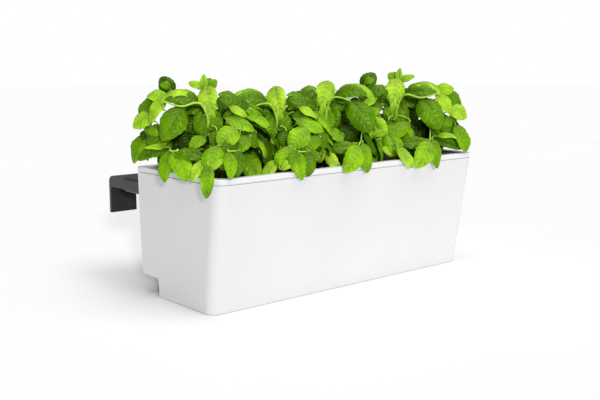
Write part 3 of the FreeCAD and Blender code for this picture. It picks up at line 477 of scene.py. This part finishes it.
def tube_points(path, radii, sides=7):
    """Closed tube along a polyline."""
    pts = [Vector(p) for p in path]
    verts, faces = [], []
    prev = None
    for i, p in enumerate(pts):
        if i == 0:
            d = pts[1] - pts[0]
        elif i == len(pts) - 1:
            d = pts[-1] - pts[-2]
        else:
            d = pts[i + 1] - pts[i - 1]
        d.normalize()
        if prev is None:
            u = d.orthogonal().normalized()
        else:
            u = (prev - d * prev.dot(d)).normalized()
        prev = u
        w = d.cross(u)
        for k in range(sides):
            a = 2 * math.pi * k / sides
            verts.append(p + (u * math.cos(a) + w * math.sin(a)) * radii[i])
    for i in range(len(pts) - 1):
        for k in range(sides):
            a = i * sides + k
            b = i * sides + (k + 1) % sides
            faces.append((a, b, b + sides, a + sides))
    faces.append(tuple(reversed(range(sides))))
    n = (len(pts) - 1) * sides
    faces.append(tuple(n + k for k in range(sides)))
    return verts, faces


def bez(p0, p1, p2, p3, n):
    out = []
    for i in range(n + 1):
        t = i / n
        out.append(p0 * (1 - t) ** 3 + p1 * 3 * t * (1 - t) ** 2 + p2 * 3 * t * t * (1 - t) + p3 * t ** 3)
    return out


# ------------------------------------------------------------------ the trough's outline, to keep leaves off it
L2, DEP, HGT, RIM = 0.290, 0.2253, 0.2005, 0.210


def front_y(z):
    return REAR - (DEP - 0.144 * (HGT - min(z, HGT)))


def half_x(z):
    return L2 - 0.022 * (HGT - min(z, HGT))


def clear(p, gap=0.0022):
    """Moves a point off the trough, the rim, the soil and the space over the filler."""
    x, y, z = p
    hx, fy = half_x(z), front_y(z)
    if z < RIM + gap and abs(x) < hx + gap and fy - gap < y < REAR + gap:
        inside_mouth = abs(x) < 0.274 and (REAR - 0.209) < y < (REAR - 0.0155)
        if inside_mouth:
            z = max(z, 0.1925)
        else:
            out_up = RIM + gap - z
            out_f = y - (fy - gap)
            out_e = hx + gap - abs(x)
            out_r = REAR + gap - y
            best = min(out_up, out_f, out_e, out_r)
            if best == out_up:
                z = RIM + gap
            elif best == out_f:
                y = fy - gap
            elif best == out_e:
                x = math.copysign(hx + gap, x)
            else:
                y = REAR + gap
    if 0.189 < x < 0.276 and REAR - 0.092 < y < REAR - 0.012 and z < 0.2175:
        z = 0.2175
    return Vector((x, y, z))


def clear_forward(verts):
    """Slides a leaf that hangs over the rim towards the viewer, all of it by as much as its worst point needs."""
    need = 0.0
    for p in verts[::2]:
        q = Vector(p)
        ray = (CAM_AT - q).normalized()
        while need < 0.090:
            r = q + ray * need
            if (clear(r) - r).length < 1e-5:
                break
            need += 0.002
    return [clear(Vector(p) + (CAM_AT - Vector(p)).normalized() * need) for p in verts]


class Plant(object):
    """Collects every leaf and stalk of one plant into two meshes."""

    def __init__(self, k, x, mirror, seed):
        self.k, self.x, self.mirror = k, x, mirror
        self.rng = random.Random(seed)
        self.v, self.f, self.lu, self.lw, self.under, self.tone = [], [], [], [], [], []
        self.sv, self.sf, self.net = [], [], []
        self.axis = Vector((x, REAR - 0.115, 0.0))

    def at(self, a, b, c):
        """Point from offsets to the stem: a to the right, b up, c towards the viewer (mm)."""
        g, lift, mid = GROW[self.k]
        a = (a - GROW[1][2]) * g
        a = (-a if self.mirror else a) + mid
        return self.axis + RIGHT * (a * 0.001) + UP * (b * 0.001 * g + lift) + TOWARD * (c * 0.001 * min(g, 1.1))

    def seen(self, p):
        """Where a point shows on the stem's plane, in the same terms as at()."""
        g, lift, mid = GROW[self.k]
        q = Vector(p) - CAM_AT
        d0 = (self.axis - CAM_AT).dot(-TOWARD)
        h = CAM_AT + q * (d0 / q.dot(-TOWARD))
        a = ((h - self.axis).dot(RIGHT) * 1000 - mid) / g
        return (-a if self.mirror else a) + GROW[1][2], (h.z - lift) * 1000 / g

    def direction(self, a, b, c):
        if self.mirror:
            a = -a
        return RIGHT * a + UP * b + TOWARD * c

    def leaf(self, base, tip, width, normal, tone=0.6, petiole=True, anchor=None, forward=False, test=None, **kw):
        rng = self.rng
        kw.setdefault("bend", rng.uniform(-0.07, 0.07))
        kw.setdefault("twist", rng.uniform(-0.5, 0.5))
        verts, faces, lu, lw, under = leaf_points(base, tip, width, normal, phase=rng.random(), **kw)
        if test is not None and not test(verts):
            return False
        start = Vector(verts[len(verts) // 2 - 1])
        verts = clear_forward(verts) if forward else [clear(p) for p in verts]
        o = len(self.v)
        self.v += verts
        self.f += [tuple(i + o for i in f) for f in faces]
        self.lu += lu
        self.lw += lw
        self.under += under
        self.tone += [tone] * len(verts)
        if petiole:
            b, t = Vector(base), Vector(tip)
            back = (b - t).normalized()
            shift = verts[len(verts) // 2 - 1] - start if forward else Vector((0, 0, 0))
            b, t = b + shift, t + shift
            anchor = min(self.net, key=lambda q: (q - b + shift).length_squared)
            gap = (anchor - b).length
            rise = 0.12 if shift.length < 0.02 else 0.04
            path = bez(anchor, anchor.lerp(b, 0.4) + Vector((0, 0, rise * gap)), b + back * min(0.012, 0.35 * gap), b + (t - b).normalized() * 0.002, 8)
            path = [clear(p, 0.0035) for p in path]
            r = [0.0014, 0.0013, 0.0012, 0.0012, 0.0011, 0.0011, 0.0010, 0.0010, 0.0008]
            tv, tf = tube_points(path, r, 6)
            o = len(self.sv)
            self.sv += tv
            self.sf += [tuple(i + o for i in f) for f in tf]
        return True

    def stalk(self, path, r0, r1, sides=8):
        path = [clear(q, 0.004) if q.z > 0.195 else q for q in path]
        self.net += path
        n = len(path)
        tv, tf = tube_points(path, [r0 + (r1 - r0) * i / (n - 1) for i in range(n)], sides)
        o = len(self.sv)
        self.sv += tv
        self.sf += [tuple(i + o for i in f) for f in tf]

    def build(self):
        leaves = new_object("basil_%d_leaves" % self.k, self.v, self.f, [M_LEAF],
                            {"lu": self.lu, "lw": self.lw, "under": self.under, "tone": self.tone}, sharp=True)
        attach(leaves, "liner")
        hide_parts("basil_%d_foliage" % self.k)
        stalks = new_object("basil_%d_stalks" % self.k, self.sv, self.sf, [M_STEM])
        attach(stalks, "liner")
        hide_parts("basil_%d_stems" % self.k)


# Hero leaves of one clump, placed one by one: base (a, b, c), tip (a, b, c), width, facing (a, b, c), tone, shape
#HERO
# name, base (right, up, towards), tip, width, facing, tone (partly painted shade and light: low for leaves in shade,
# high for lit ones), shape, plants that lack it; all mm from the stem
HERO = [
    ('L1', (-13.7, 340.6, 24), (-1.4, 300.5, 40), 31.7, (-0.15, 0.3, 1), 0.92, (0.45, 0.3, 0.4, 0.0), ()),
    ('L2', (-8.3, 335.9, 18), (0.5, 305.7, 26), 14.3, (0.7, 0.2, 0.8), 0.5, (0.3, 0.38, 0.45, 0.0), ()),
    ('L3', (-15.8, 334.4, 20), (-16.7, 358.0, 22), 12.0, (0, 0.3, 1), 0.9, (0.27, 0.38, 0.45, 0.0), (2, 3)),
    ('L4', (-14.7, 334.2, 16), (1.4, 349.4, 12), 20.0, (0.3, 0.6, 0.6), 0.58, (0.27, 0.38, 0.45, 0.0), (2, 3)),
    ('L4b', (-15.2, 340.2, 10), (-7.7, 351.5, 6), 12.9, (0.1, 0.7, 0.7), 0.42, (0.27, 0.38, 0.45, 0.0), (2, 3)),
    ('L5', (-16.5, 337.5, 20), (-40.4, 345.2, 24), 14.3, (-0.1, 0.6, 0.8), 0.8, (0.27, 0.38, 0.45, 0.0), (2, 3)),
    ('L7', (-4.1, 282.1, 38), (-4.7, 306.8, 44), 14.2, (0, 0.3, 1), 0.9, (0.27, 0.38, 0.45, 0.0), ()),
    ('L7b', (-1.8, 286.1, 30), (5.8, 302.6, 26), 14.3, (0.5, 0.4, 0.8), 0.55, (0.27, 0.38, 0.45, 0.0), ()),
    ('L7c', (-9.2, 286.2, 32), (-13.4, 301.6, 34), 11.1, (-0.4, 0.3, 0.9), 0.72, (0.27, 0.38, 0.45, 0.0), ()),
    ('L8a', (-22.7, 315.8, 16), (-86.4, 309.2, 34), 33.4, (0, 1, 0.12), 0.86, (0.95, 0.1, 0.55, 0.0), ()),
    ('L8b', (-24.0, 318.2, 32), (-73.7, 320.4, 46), 23.6, (0, 0.5, 0.85), 0.4, (0.35, 0.38, 0.45, 0.0), ()),
    ('L8c', (-29.1, 325.5, 26), (-70.0, 323.2, 40), 20.6, (0, 0.55, 0.8), 0.6, (0.45, 0.38, 0.45, 0.0), ()),
    ('L9', (-73.9, 322.4, 24), (-104.8, 324.6, 22), 25.5, (-0.2, 0.7, 0.7), 0.76, (0.35, 0.38, 0.45, 0.0), (2, 3)),
    ('L10', (-93.9, 320.4, 14), (-118.6, 292.3, 10), 28.9, (-0.5, 0.4, 0.75), 0.46, (0.35, 0.38, 0.45, 0.0), (2, 3)),
    ('L11', (-75.5, 321.3, 34), (-96.8, 285.3, 40), 23.7, (-0.3, 0.45, 0.85), 0.86, (0.3, 0.38, 0.45, 0.0), (3,)),
    ('L12', (-48.3, 308.4, 46), (-77.6, 261.2, 60), 45.2, (-0.1, 0.4, 0.92), 0.46, (0.35, 0.38, 0.6, 0.0), ()),
    ('L13', (-96.4, 296.2, 22), (-128.1, 277.6, 20), 33.5, (-0.3, 0.5, 0.8), 0.84, (0.3, 0.38, 0.45, 0.0), (2, 3)),
    ('L14', (-70.7, 328.1, -20), (-91.6, 351.5, -26), 28.0, (0, 0.3, 0.95), 0.24, (0.3, 0.38, 0.45, 0.0), (2, 4)),
    ('L14b', (-73.5, 336.4, -8), (-89.4, 342.6, -10), 14.7, (0, 0.5, 0.85), 0.5, (0.4, 0.38, 0.45, 0.0), (2, 4)),
    ('L15a', (-17.3, 311.7, 24), (-48.8, 299.2, 20), 27.1, (0, 0.6, 0.8), 0.38, (0.3, 0.38, 0.45, 0.0), ()),
    ('L15b', (-14.1, 307.2, 26), (-23.2, 263.4, 34), 26.9, (0.2, 0.2, 1), 0.42, (0.27, 0.38, 0.45, 0.0), ()),
    ('L15c', (-26.2, 294.3, 16), (-43.6, 263.5, 18), 30.4, (0, 0.2, 1), 0.24, (0.27, 0.38, 0.45, 0.0), ()),
    ('L16', (-11.8, 294.1, 36), (-17.7, 264.9, 42), 22.1, (0, 0.3, 0.95), 0.52, (0.27, 0.38, 0.45, 0.0), ()),
    ('L17', (-14.7, 264.1, 42), (-36.7, 245.3, 52), 21.9, (-0.2, 0.5, 0.85), 0.76, (0.35, 0.38, 0.45, 0.0), ()),
    ('L18', (-112.0, 264.1, 8), (-128.7, 220.5, 18), 32.1, (-0.5, 0.35, 0.8), 0.56, (0.3, 0.38, 0.45, 0.0), (2, 3)),
    ('L19', (-70.9, 245.9, 36), (-120.1, 227.9, 34), 23.7, (-0.1, 0.6, 0.8), 0.36, (0.3, 0.38, 0.45, 0.0), (3,)),
    ('L20', (-75.7, 249.0, 44), (-107.5, 247.7, 46), 14.1, (0, 0.8, 0.6), 0.8, (0.3, 0.38, 0.45, 0.0), (3,)),
    ('L21', (-99.2, 279.6, 26), (-92.1, 256.5, 26), 15.9, (-0.2, 0.3, 0.9), 0.62, (0.27, 0.38, 0.45, 0.0), (2, 3)),
    ('L21b', (-106.4, 292.9, 18), (-104.5, 261.7, 16), 17.6, (-0.4, 0.3, 0.8), 0.5, (0.27, 0.38, 0.45, 0.0), (2, 3)),
    ('L22', (-67.4, 244.6, 60), (-73.2, 199.4, 74), 23.9, (-0.3, 0.25, 0.95), 0.56, (0.3, 0.38, 0.45, 0.0), ()),
    ('L23', (-59.5, 243.1, 74), (-36.9, 203.0, 94), 32.0, (0, 0.35, 0.95), 0.72, (0.3, 0.38, 0.45, 0.0), ()),
    ('L24', (-13.7, 238.3, 84), (-60.8, 238.8, 76), 22.9, (0, 0.6, 0.8), 0.42, (0.3, 0.38, 0.45, 0.0), ()),
    ('L25', (-8.5, 234.7, 92), (-30.0, 203.4, 102), 19.6, (-0.2, 0.35, 0.9), 0.9, (0.25, 0.38, 0.45, 0.0), ()),
    ('L26', (-1.9, 230.3, 128), (-3.0, 186.0, 146), 20.5, (0.1, 0.2, 1), 0.6, (0.3, 0.38, 0.3, 0.0), (2, 3, 4)),
    ('L27', (8.1, 255.4, 92), (-0.4, 219.7, 102), 36.2, (0.1, 0.4, 0.9), 0.66, (0.4, 0.38, 0.7, 0.5), ()),
    ('L27b', (-1.4, 223.2, 106), (18.4, 236.2, 104), 13.5, (0.2, 0.6, 0.7), 0.92, (0.5, 0.38, 0.45, 0.0), ()),
    ('L28', (36.6, 279.1, 76), (10.3, 253.1, 84), 33.6, (0.05, 0.4, 0.9), 0.76, (0.3, 0.38, 0.45, 0.0), ()),
    ('L29', (19.2, 292.8, 60), (61.0, 274.8, 60), 23.3, (0.1, 0.6, 0.8), 0.72, (0.3, 0.38, 0.45, 0.0), ()),
    ('L30', (-3.1, 275.5, 50), (10.3, 294.7, 44), 20.4, (0.2, 0.4, 0.9), 0.5, (0.27, 0.38, 0.45, 0.0), ()),
    ('L31', (52.5, 309.3, 36), (8.0, 322.0, 48), 23.6, (0, 0.5, 0.85), 0.34, (0.4, 0.38, 0.45, 0.0), ()),
    ('L31b', (10.6, 326.3, 42), (20.1, 307.1, 50), 20.4, (0.2, 0.3, 0.9), 0.22, (0.27, 0.38, 0.45, 0.0), ()),
    ('L32', (30.6, 325.5, 26), (4.8, 327.1, 28), 15.9, (0, 0.8, 0.5), 0.52, (0.4, 0.38, 0.45, 0.0), ()),
    ('L32b', (25.1, 310.5, 56), (50.6, 295.7, 58), 15.5, (0.2, 0.6, 0.7), 0.84, (0.27, 0.38, 0.45, 0.0), ()),
    ('L32c', (30.7, 302.8, 52), (14.4, 294.0, 56), 15.6, (-0.1, 0.5, 0.8), 0.3, (0.27, 0.38, 0.45, 0.0), ()),
    ('L33', (24.6, 247.2, 98), (28.9, 208.5, 112), 20.3, (0.2, 0.3, 0.9), 0.66, (0.25, 0.38, 0.45, 0.0), ()),
    ('L34', (17.9, 249.1, 88), (18.4, 219.2, 98), 21.2, (0.1, 0.3, 0.9), 0.52, (0.27, 0.38, 0.45, 0.0), ()),
    ('L35', (38.3, 247.2, 84), (37.1, 211.2, 94), 21.3, (0.3, 0.3, 0.9), 0.42, (0.27, 0.38, 0.45, 0.0), ()),
    ('L36', (56.6, 266.1, 64), (25.6, 243.1, 74), 24.7, (0.2, 0.5, 0.8), 0.54, (0.3, 0.38, 0.45, 0.0), ()),
    ('L36b', (48.8, 276.0, 56), (63.8, 249.2, 60), 21.8, (0.3, 0.4, 0.8), 0.36, (0.27, 0.38, 0.45, 0.0), ()),
    ('L37', (-103.3, 270.7, 12), (-119.9, 250.2, 10), 19.3, (-0.4, 0.3, 0.8), 0.14, (0.27, 0.38, 0.45, 0.0), (2, 3)),
    ('L38', (-68.6, 259.7, 28), (-87.0, 241.6, 32), 20.6, (-0.2, 0.4, 0.9), 0.42, (0.27, 0.38, 0.45, 0.0), (3,)),
    ('L39', (-55.5, 276.6, 8), (-76.7, 239.0, 8), 35.4, (-0.2, 0.1, 0.9), 0.05, (0.27, 0.38, 0.45, 0.0), ()),
    ('L40', (-46.3, 269.8, 20), (-40.3, 239.2, 24), 31.9, (0.0, 0.1, 0.9), 0.06, (0.27, 0.38, 0.45, 0.0), ()),
    ('L41', (5.4, 274.8, 60), (-0.4, 252.8, 66), 21.7, (0.0, 0.3, 0.9), 0.34, (0.27, 0.38, 0.45, 0.0), ()),
    ('L42', (-19.8, 232.1, 70), (-50.9, 217.8, 64), 24.7, (0.0, 0.3, 0.9), 0.12, (0.27, 0.38, 0.45, 0.0), ()),
    ('L43', (17.7, 302.0, 40), (32.7, 286.8, 40), 22.0, (0.1, 0.4, 0.9), 0.16, (0.27, 0.38, 0.45, 0.0), ()),
    ('L44', (-89.3, 282.2, 20), (-100.0, 251.8, 26), 20.7, (-0.2, 0.3, 0.9), 0.5, (0.27, 0.38, 0.45, 0.0), (3,)),
    ('L45', (-82.9, 268.6, 24), (-105.5, 252.2, 30), 20.7, (-0.2, 0.5, 0.8), 0.42, (0.27, 0.38, 0.45, 0.0), (3,)),
    ('L46', (-100.9, 270.4, 8), (-117.7, 245.9, 14), 24.1, (-0.4, 0.3, 0.8), 0.34, (0.27, 0.38, 0.45, 0.0), (2, 3)),
    ('L47', (-85.7, 242.9, 30), (-66.8, 223.5, 36), 23.7, (-0.1, 0.3, 0.9), 0.2, (0.27, 0.38, 0.45, 0.0), (3,)),
    ('L48', (-75.2, 263.1, 14), (-92.2, 243.2, 18), 25.6, (-0.1, 0.3, 0.9), 0.22, (0.27, 0.38, 0.45, 0.0), (3,)),
    ('L49', (-67.5, 291.5, 20), (-84.2, 277.9, 24), 22.3, (-0.1, 0.4, 0.9), 0.34, (0.27, 0.38, 0.45, 0.0), (3,)),
    ('L50', (-60.8, 313.0, 20), (-45.2, 301.0, 24), 14.3, (0.1, 0.5, 0.8), 0.55, (0.27, 0.38, 0.45, 0.0), ()),
]
CROWN = [(-141.1, 231.8), (-136.0, 242.9), (-130.2, 280.7), (-121.8, 299.4), (-115.1, 313.4), (-103.8, 325.9), (-88.2, 329.0), (-64.7, 332.1), (-29.0, 325.9), (-18.1, 324.3), (-0.9, 324.3), (8.4, 321.2), (28.7, 321.2), (52.1, 319.7), (70.8, 311.9)]
GAPS = [(-76.2, 305.7, 5.0), (-85.7, 301.0, 3.9), (-70.1, 302.5, 3.1), (-38.4, 284.6, 3.4), (-60.6, 271.3, 3.1), (-63.5, 244.5, 2.8)]
HERO_STEMS = [([(-71.9, 318.8, 58), (-58.3, 313.7, 60), (-43.4, 312.2, 60), (-28.8, 316.5, 56), (-18.8, 314.8, 52), (-12.6, 304.0, 48), (-9.3, 291.8, 46), (-9.1, 279.4, 42), (-11.7, 256.7, 12)], 0.0012, 0.0025, {2: 2, 3: 2}), ([(-72.5, 318.6, 54), (-87.0, 310.5, 30), (-96.7, 297.6, 20), (-104.8, 275.4, 12), (-110.5, 262.5, 8)], 0.0013, 0.001, {2: 9, 3: 9}), ([(-13.7, 211.2, 0), (-43.2, 236.6, 0), (-70.8, 246.5, 4), (-91.9, 256.3, 8), (-110.4, 264.1, 8)], 0.0022, 0.0012, {}), ([(-13.5, 223.9, 0), (-6.0, 250.1, 40), (-4.1, 247.7, 75), (-7.2, 237.5, 90), (-2.7, 232.2, 120)], 0.0023, 0.0012, {}), ([(-9.1, 245.5, 25), (-27.9, 245.1, 50), (-50.0, 245.3, 66), (-63.0, 245.7, 70)], 0.0016, 0.0012, {}), ([(-6.2, 248.4, 38), (10.5, 250.2, 70), (24.1, 248.1, 92), (37.0, 247.4, 86)], 0.0016, 0.0012, {}), ([(-14.7, 267.8, -4), (-32.9, 296.8, -16), (-53.9, 315.4, -22), (-70.7, 328.1, -20), (-73.8, 336.3, -10)], 0.0016, 0.0011, {2: 9, 4: 9}), ([(-12.1, 259.4, 8), (10.9, 277.3, 36), (32.9, 294.5, 42), (52.3, 307.7, 34)], 0.0017, 0.0012, {}), ([(-12.3, 284.5, 10), (8.3, 309.8, 18), (30.5, 323.9, 24)], 0.0015, 0.0011, {}), ([(-6.2, 249.9, 38), (24.3, 259.2, 54), (54.9, 268.8, 60)], 0.0016, 0.0012, {})]
GROW = {1: (1.0, 0.0, -14.5), 2: (1.059, -0.0238, -8.1), 3: (1.0729, -0.022, -9.6), 4: (1.117, -0.0364, -1.5)}
#HERO_END

PLANTS = ((1, -0.212, False, 11), (2, -0.086, False, 23), (3, 0.038, True, 37), (4, 0.200, True, 53))
SEAMS = {1: (-0.350, -0.140), 2: (-0.164, -0.012), 3: (-0.036, 0.128), 4: (0.104, 0.350)}
CA = np.array([q[0] for q in CROWN])
CB = np.array([q[1] for q in CROWN])


def make_plant(k, px, mirror, seed):
    p = Plant(k, px, mirror, seed)
    rng = p.rng
    lo, hi = SEAMS[k]
    for path, r0, r1, cut in HERO_STEMS:
        pts = [p.at(*q) for q in path]
        pts = pts[cut.get(k, 0):]
        if len(pts) < 2:
            continue
        fine = []
        for j in range(len(pts) - 1):
            a1, a2 = pts[max(0, j - 1)], pts[min(len(pts) - 1, j + 2)]
            t1, t2 = (pts[j + 1] - a1) / 6, (a2 - pts[j]) / 6
            fine += bez(pts[j], pts[j] + t1, pts[j + 1] - t2, pts[j + 1], 4)[:-1]
        fine.append(pts[-1])
        p.stalk(fine, r0, r1)
    # main stem and branches
    top = p.at(-14, 333, 30)
    foot = Vector((p.axis.x, p.axis.y, 0.189))
    p.stalk(bez(foot, foot + Vector((0, 0, 0.05)), top - Vector((0, 0, 0.06)), top, 16), 0.0034, 0.0016)
    for j in range(8):
        a0 = 2 * math.pi * (j + rng.random() * 0.7) / 8
        r0 = 0.006 + 0.012 * rng.random()
        st = p.axis + Vector((r0 * math.cos(a0), r0 * math.sin(a0), 0.189))
        spread = 0.020 + 0.030 * rng.random()
        head = p.axis + Vector((spread * math.cos(a0), spread * math.sin(a0), 0.270 + 0.035 * rng.random()))
        p.stalk(bez(st, st + Vector((0, 0, 0.03)), st.lerp(head, 0.5) + Vector((0, 0, 0.014)), head, 10), 0.0026, 0.0014)
    for (name, ba, ta, w, nrm, tone, shape, lacks) in HERO:
        if k in lacks:
            continue
        arch, fold, droop, curl = shape
        p.leaf(p.at(*ba), p.at(*ta), w * 0.001 * GROW[k][0], p.direction(*nrm), min(1, max(0, tone + rng.uniform(-.03, .03))),
               forward=True, arch=arch, fold=fold, droop=droop, curl=curl)

    def fits(verts):
        for q in verts[::3]:
            x, y, z = q
            if not (lo - 0.012 < x < hi + 0.012) or z > 0.352 or y > REAR + 0.010 or y < REAR - 0.252:
                return False
            if k == 4 and x > 0.186 and y > REAR - 0.100 and z < 0.292:
                return False
            if z < 0.196 or (z < 0.213 and not (abs(x) < 0.272 and REAR - 0.207 < y < REAR - 0.0165)):
                return False
            a, b = p.seen(q)
            if b > np.interp(a, CA, CB) or a < CA[0]:
                return False
            for (ga, gb, gr) in GAPS:
                if (a - ga) ** 2 + (b - gb) ** 2 < gr * gr:
                    return False
        return True

    count, tries = 0, 0
    goal = 92
    while count < goal and tries < 3000:
        tries += 1
        inner = count > goal * 0.66
        th = rng.uniform(0, 2 * math.pi)
        sz = rng.uniform(-0.20, 1.0)
        el = math.asin(sz)
        d = Vector((math.cos(th) * math.cos(el), math.sin(th) * math.cos(el), math.sin(el)))
        front = d.dot(TOWARD)
        if not inner and front > 0.35 and rng.random() < 0.93:
            continue
        rx = (0.072 if k in (2, 3) else 0.098) + (0.012 if k == 1 and d.x < 0 else 0)
        s = rng.uniform(0.30, 0.62) if inner else rng.uniform(0.66, 0.96)
        if inner and front > 0.2:
            s *= 0.75
        at = Vector((p.axis.x + d.x * rx * s, p.axis.y + d.y * 0.100 * s, 0.232 + d.z * 0.112 * s))
        nrm = (d + UP * rng.uniform(0.15, 0.8) + Vector([rng.uniform(-0.35, 0.35) for _ in range(3)])).normalized()
        flat = Vector((d.x, d.y, 0)).normalized() if (abs(d.x) + abs(d.y)) > 1e-3 else Vector((1, 0, 0))
        spin = Vector((-flat.y, flat.x, 0))
        go = flat * rng.uniform(0.2, 0.9) + spin * rng.uniform(-0.9, 0.9) - UP * rng.uniform(0.1, 1.0)
        go = (go - nrm * go.dot(nrm) * 0.85).normalized()
        ln = rng.uniform(0.040, 0.066) * (0.9 if inner else 1.0)
        base = at - go * ln * 0.5
        tip = at + go * ln * 0.5
        if base.z < 0.200 or tip.z < 0.192:
            continue
        # tone holds painted shade and light with a random spread: leaves deep in the clump are painted dark as if in
        # shade, outer leaves lighter the higher they sit, as if lit from above
        if inner:
            tone = rng.uniform(0.08, 0.30)
        else:
            tone = min(0.97, max(0.05, 0.30 + 0.42 * d.z + rng.uniform(-0.26, 0.26)))
        if p.leaf(base, tip, ln * rng.uniform(0.44, 0.58), nrm, tone, test=fits, nu=15, nv=8, arch=rng.uniform(0.2, 0.55),
                  fold=rng.uniform(0.05, 0.25), droop=rng.uniform(0.35, 0.75), curl=rng.uniform(0, 0.3)):
            count += 1
    p.build()
    return count, tries


for args in PLANTS:
    print("plant", args[0], make_plant(*args))

# ------------------------------------------------------------------ soil surface with crumbs
rng = random.Random(5)
gx, gy = 150, 56
verts, faces = [], []
x0, x1, y0, y1 = -0.2772, 0.2772, REAR - 0.2118, REAR - 0.0132


def soil_h(x, y):
    h = 0.1905
    for (fx, fy, am, ph) in ((31, 17, 0.0011, 0.3), (57, 71, 0.0008, 1.1), (130, 90, 0.0006, 2.2), (240, 310, 0.0004, 0.7)):
        h += am * math.sin(fx * x + ph) * math.cos(fy * y + 2.1 * ph)
    return h + rng.uniform(-0.0006, 0.0006)


def blocked(x, y):
    """Room for the tower in the rear right corner."""
    ty = y - REAR
    return (x > 0.1985 and ty > -0.0525) or ((x - 0.256) ** 2 + (ty + 0.070) ** 2 < 0.0150 ** 2) or (abs(x - 0.256) < 0.0095 and ty > -0.070)


keep = {}
for i in range(gx + 1):
    for j in range(gy + 1):
        x = x0 + (x1 - x0) * i / gx
        y = y0 + (y1 - y0) * j / gy
        # rounded front corners
        cx, cy = 0.2772 - 0.0155, y0 + 0.0155
        if abs(x) > cx and y < cy:
            dx, dyy = abs(x) - cx, cy - y
            d = math.hypot(dx, dyy)
            if d > 0.0155:
                x = math.copysign(cx + dx / d * 0.0155, x)
                y = cy - dyy / d * 0.0155
        keep[(i, j)] = len(verts)
        verts.append((x, y, soil_h(x, y)))
for i in range(gx):
    for j in range(gy):
        q = [keep[(i, j)], keep[(i + 1, j)], keep[(i + 1, j + 1)], keep[(i, j + 1)]]
        if any(blocked(verts[n][0], verts[n][1]) for n in q):
            continue
        faces.append(tuple(q))
top = new_object("soil_surface", verts, faces, [M_SOIL])
bm = bmesh.new()
bm.from_mesh(top.data)
loose = [v for v in bm.verts if not v.link_faces]
bmesh.ops.delete(bm, geom=loose, context="VERTS")
geo = bmesh.ops.extrude_face_region(bm, geom=bm.faces[:])
low = [e for e in geo["geom"] if isinstance(e, bmesh.types.BMVert)]
for vtx in low:
    vtx.co.z = 0.1888
bmesh.ops.recalc_face_normals(bm, faces=bm.faces[:])
bm.to_mesh(top.data)
bm.free()
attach(top, "liner")

M_BARK = crumb_mat("bark_crumb", (0.03, 0.017, 0.009), (0.13, 0.075, 0.04))
M_PERL = crumb_mat("perlite_grain", (0.62, 0.60, 0.55), (0.80, 0.79, 0.75))
cv, cf, cm = [], [], []
ico = bmesh.new()
bmesh.ops.create_icosphere(ico, subdivisions=1, radius=1.0)
ico_v = [v.co.copy() for v in ico.verts]
ico_f = [tuple(v.index for v in f.verts) for f in ico.faces]
ico.free()
n = 0
while n < 620:
    x, y = rng.uniform(-0.27, 0.27), rng.uniform(REAR - 0.206, REAR - 0.019)
    if blocked(x - 0.004, y) or blocked(x + 0.004, y + 0.004) or blocked(x, y - 0.004):
        continue
    white = rng.random() < 0.16
    r = rng.uniform(0.0008, 0.0019) if white else rng.uniform(0.0010, 0.0030)
    sx, sy, sz = rng.uniform(0.7, 1.5), rng.uniform(0.6, 1.1), rng.uniform(0.4, 0.8)
    rot = Matrix.Rotation(rng.uniform(0, 6.28), 3, "Z") @ Matrix.Rotation(rng.uniform(-0.4, 0.4), 3, "X")
    o = len(cv)
    for v in ico_v:
        jv = Vector((v.x * sx, v.y * sy, v.z * sz)) * r * rng.uniform(0.8, 1.15)
        jv = rot @ jv
        cv.append((x + jv.x, y + jv.y, 0.1915 + r * 0.3 + jv.z))
    for f in ico_f:
        cf.append(tuple(i + o for i in f))
        cm.append(1 if white else 0)
    n += 1
crumbs = new_object("soil_crumbs", cv, cf, [M_BARK, M_PERL], face_mats=cm, smooth=False)
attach(crumbs, "liner")

# ------------------------------------------------------------------ floor
me = bpy.data.meshes.new("floor")
me.from_pydata([(-9, -9, 0), (9, -9, 0), (9, 9, 0), (-9, 9, 0)], [], [(0, 1, 2, 3)])
floor = bpy.data.objects.new("floor", me)
COLL.objects.link(floor)
mf = Mat("pale_floor")
mf.to("Base Color", mf.ramp(mf.noise(3.0, 3.0, 0.5), [(0.3, (0.960, 0.960, 0.960)), (0.7, (0.980, 0.980, 0.980))]))
mf.to("Roughness", mf.map(mf.noise(40.0, 3.0, 0.5), 0.7, 0.85))
mf.set(Specular_IOR_Level=0.0)
me.materials.append(mf.m)
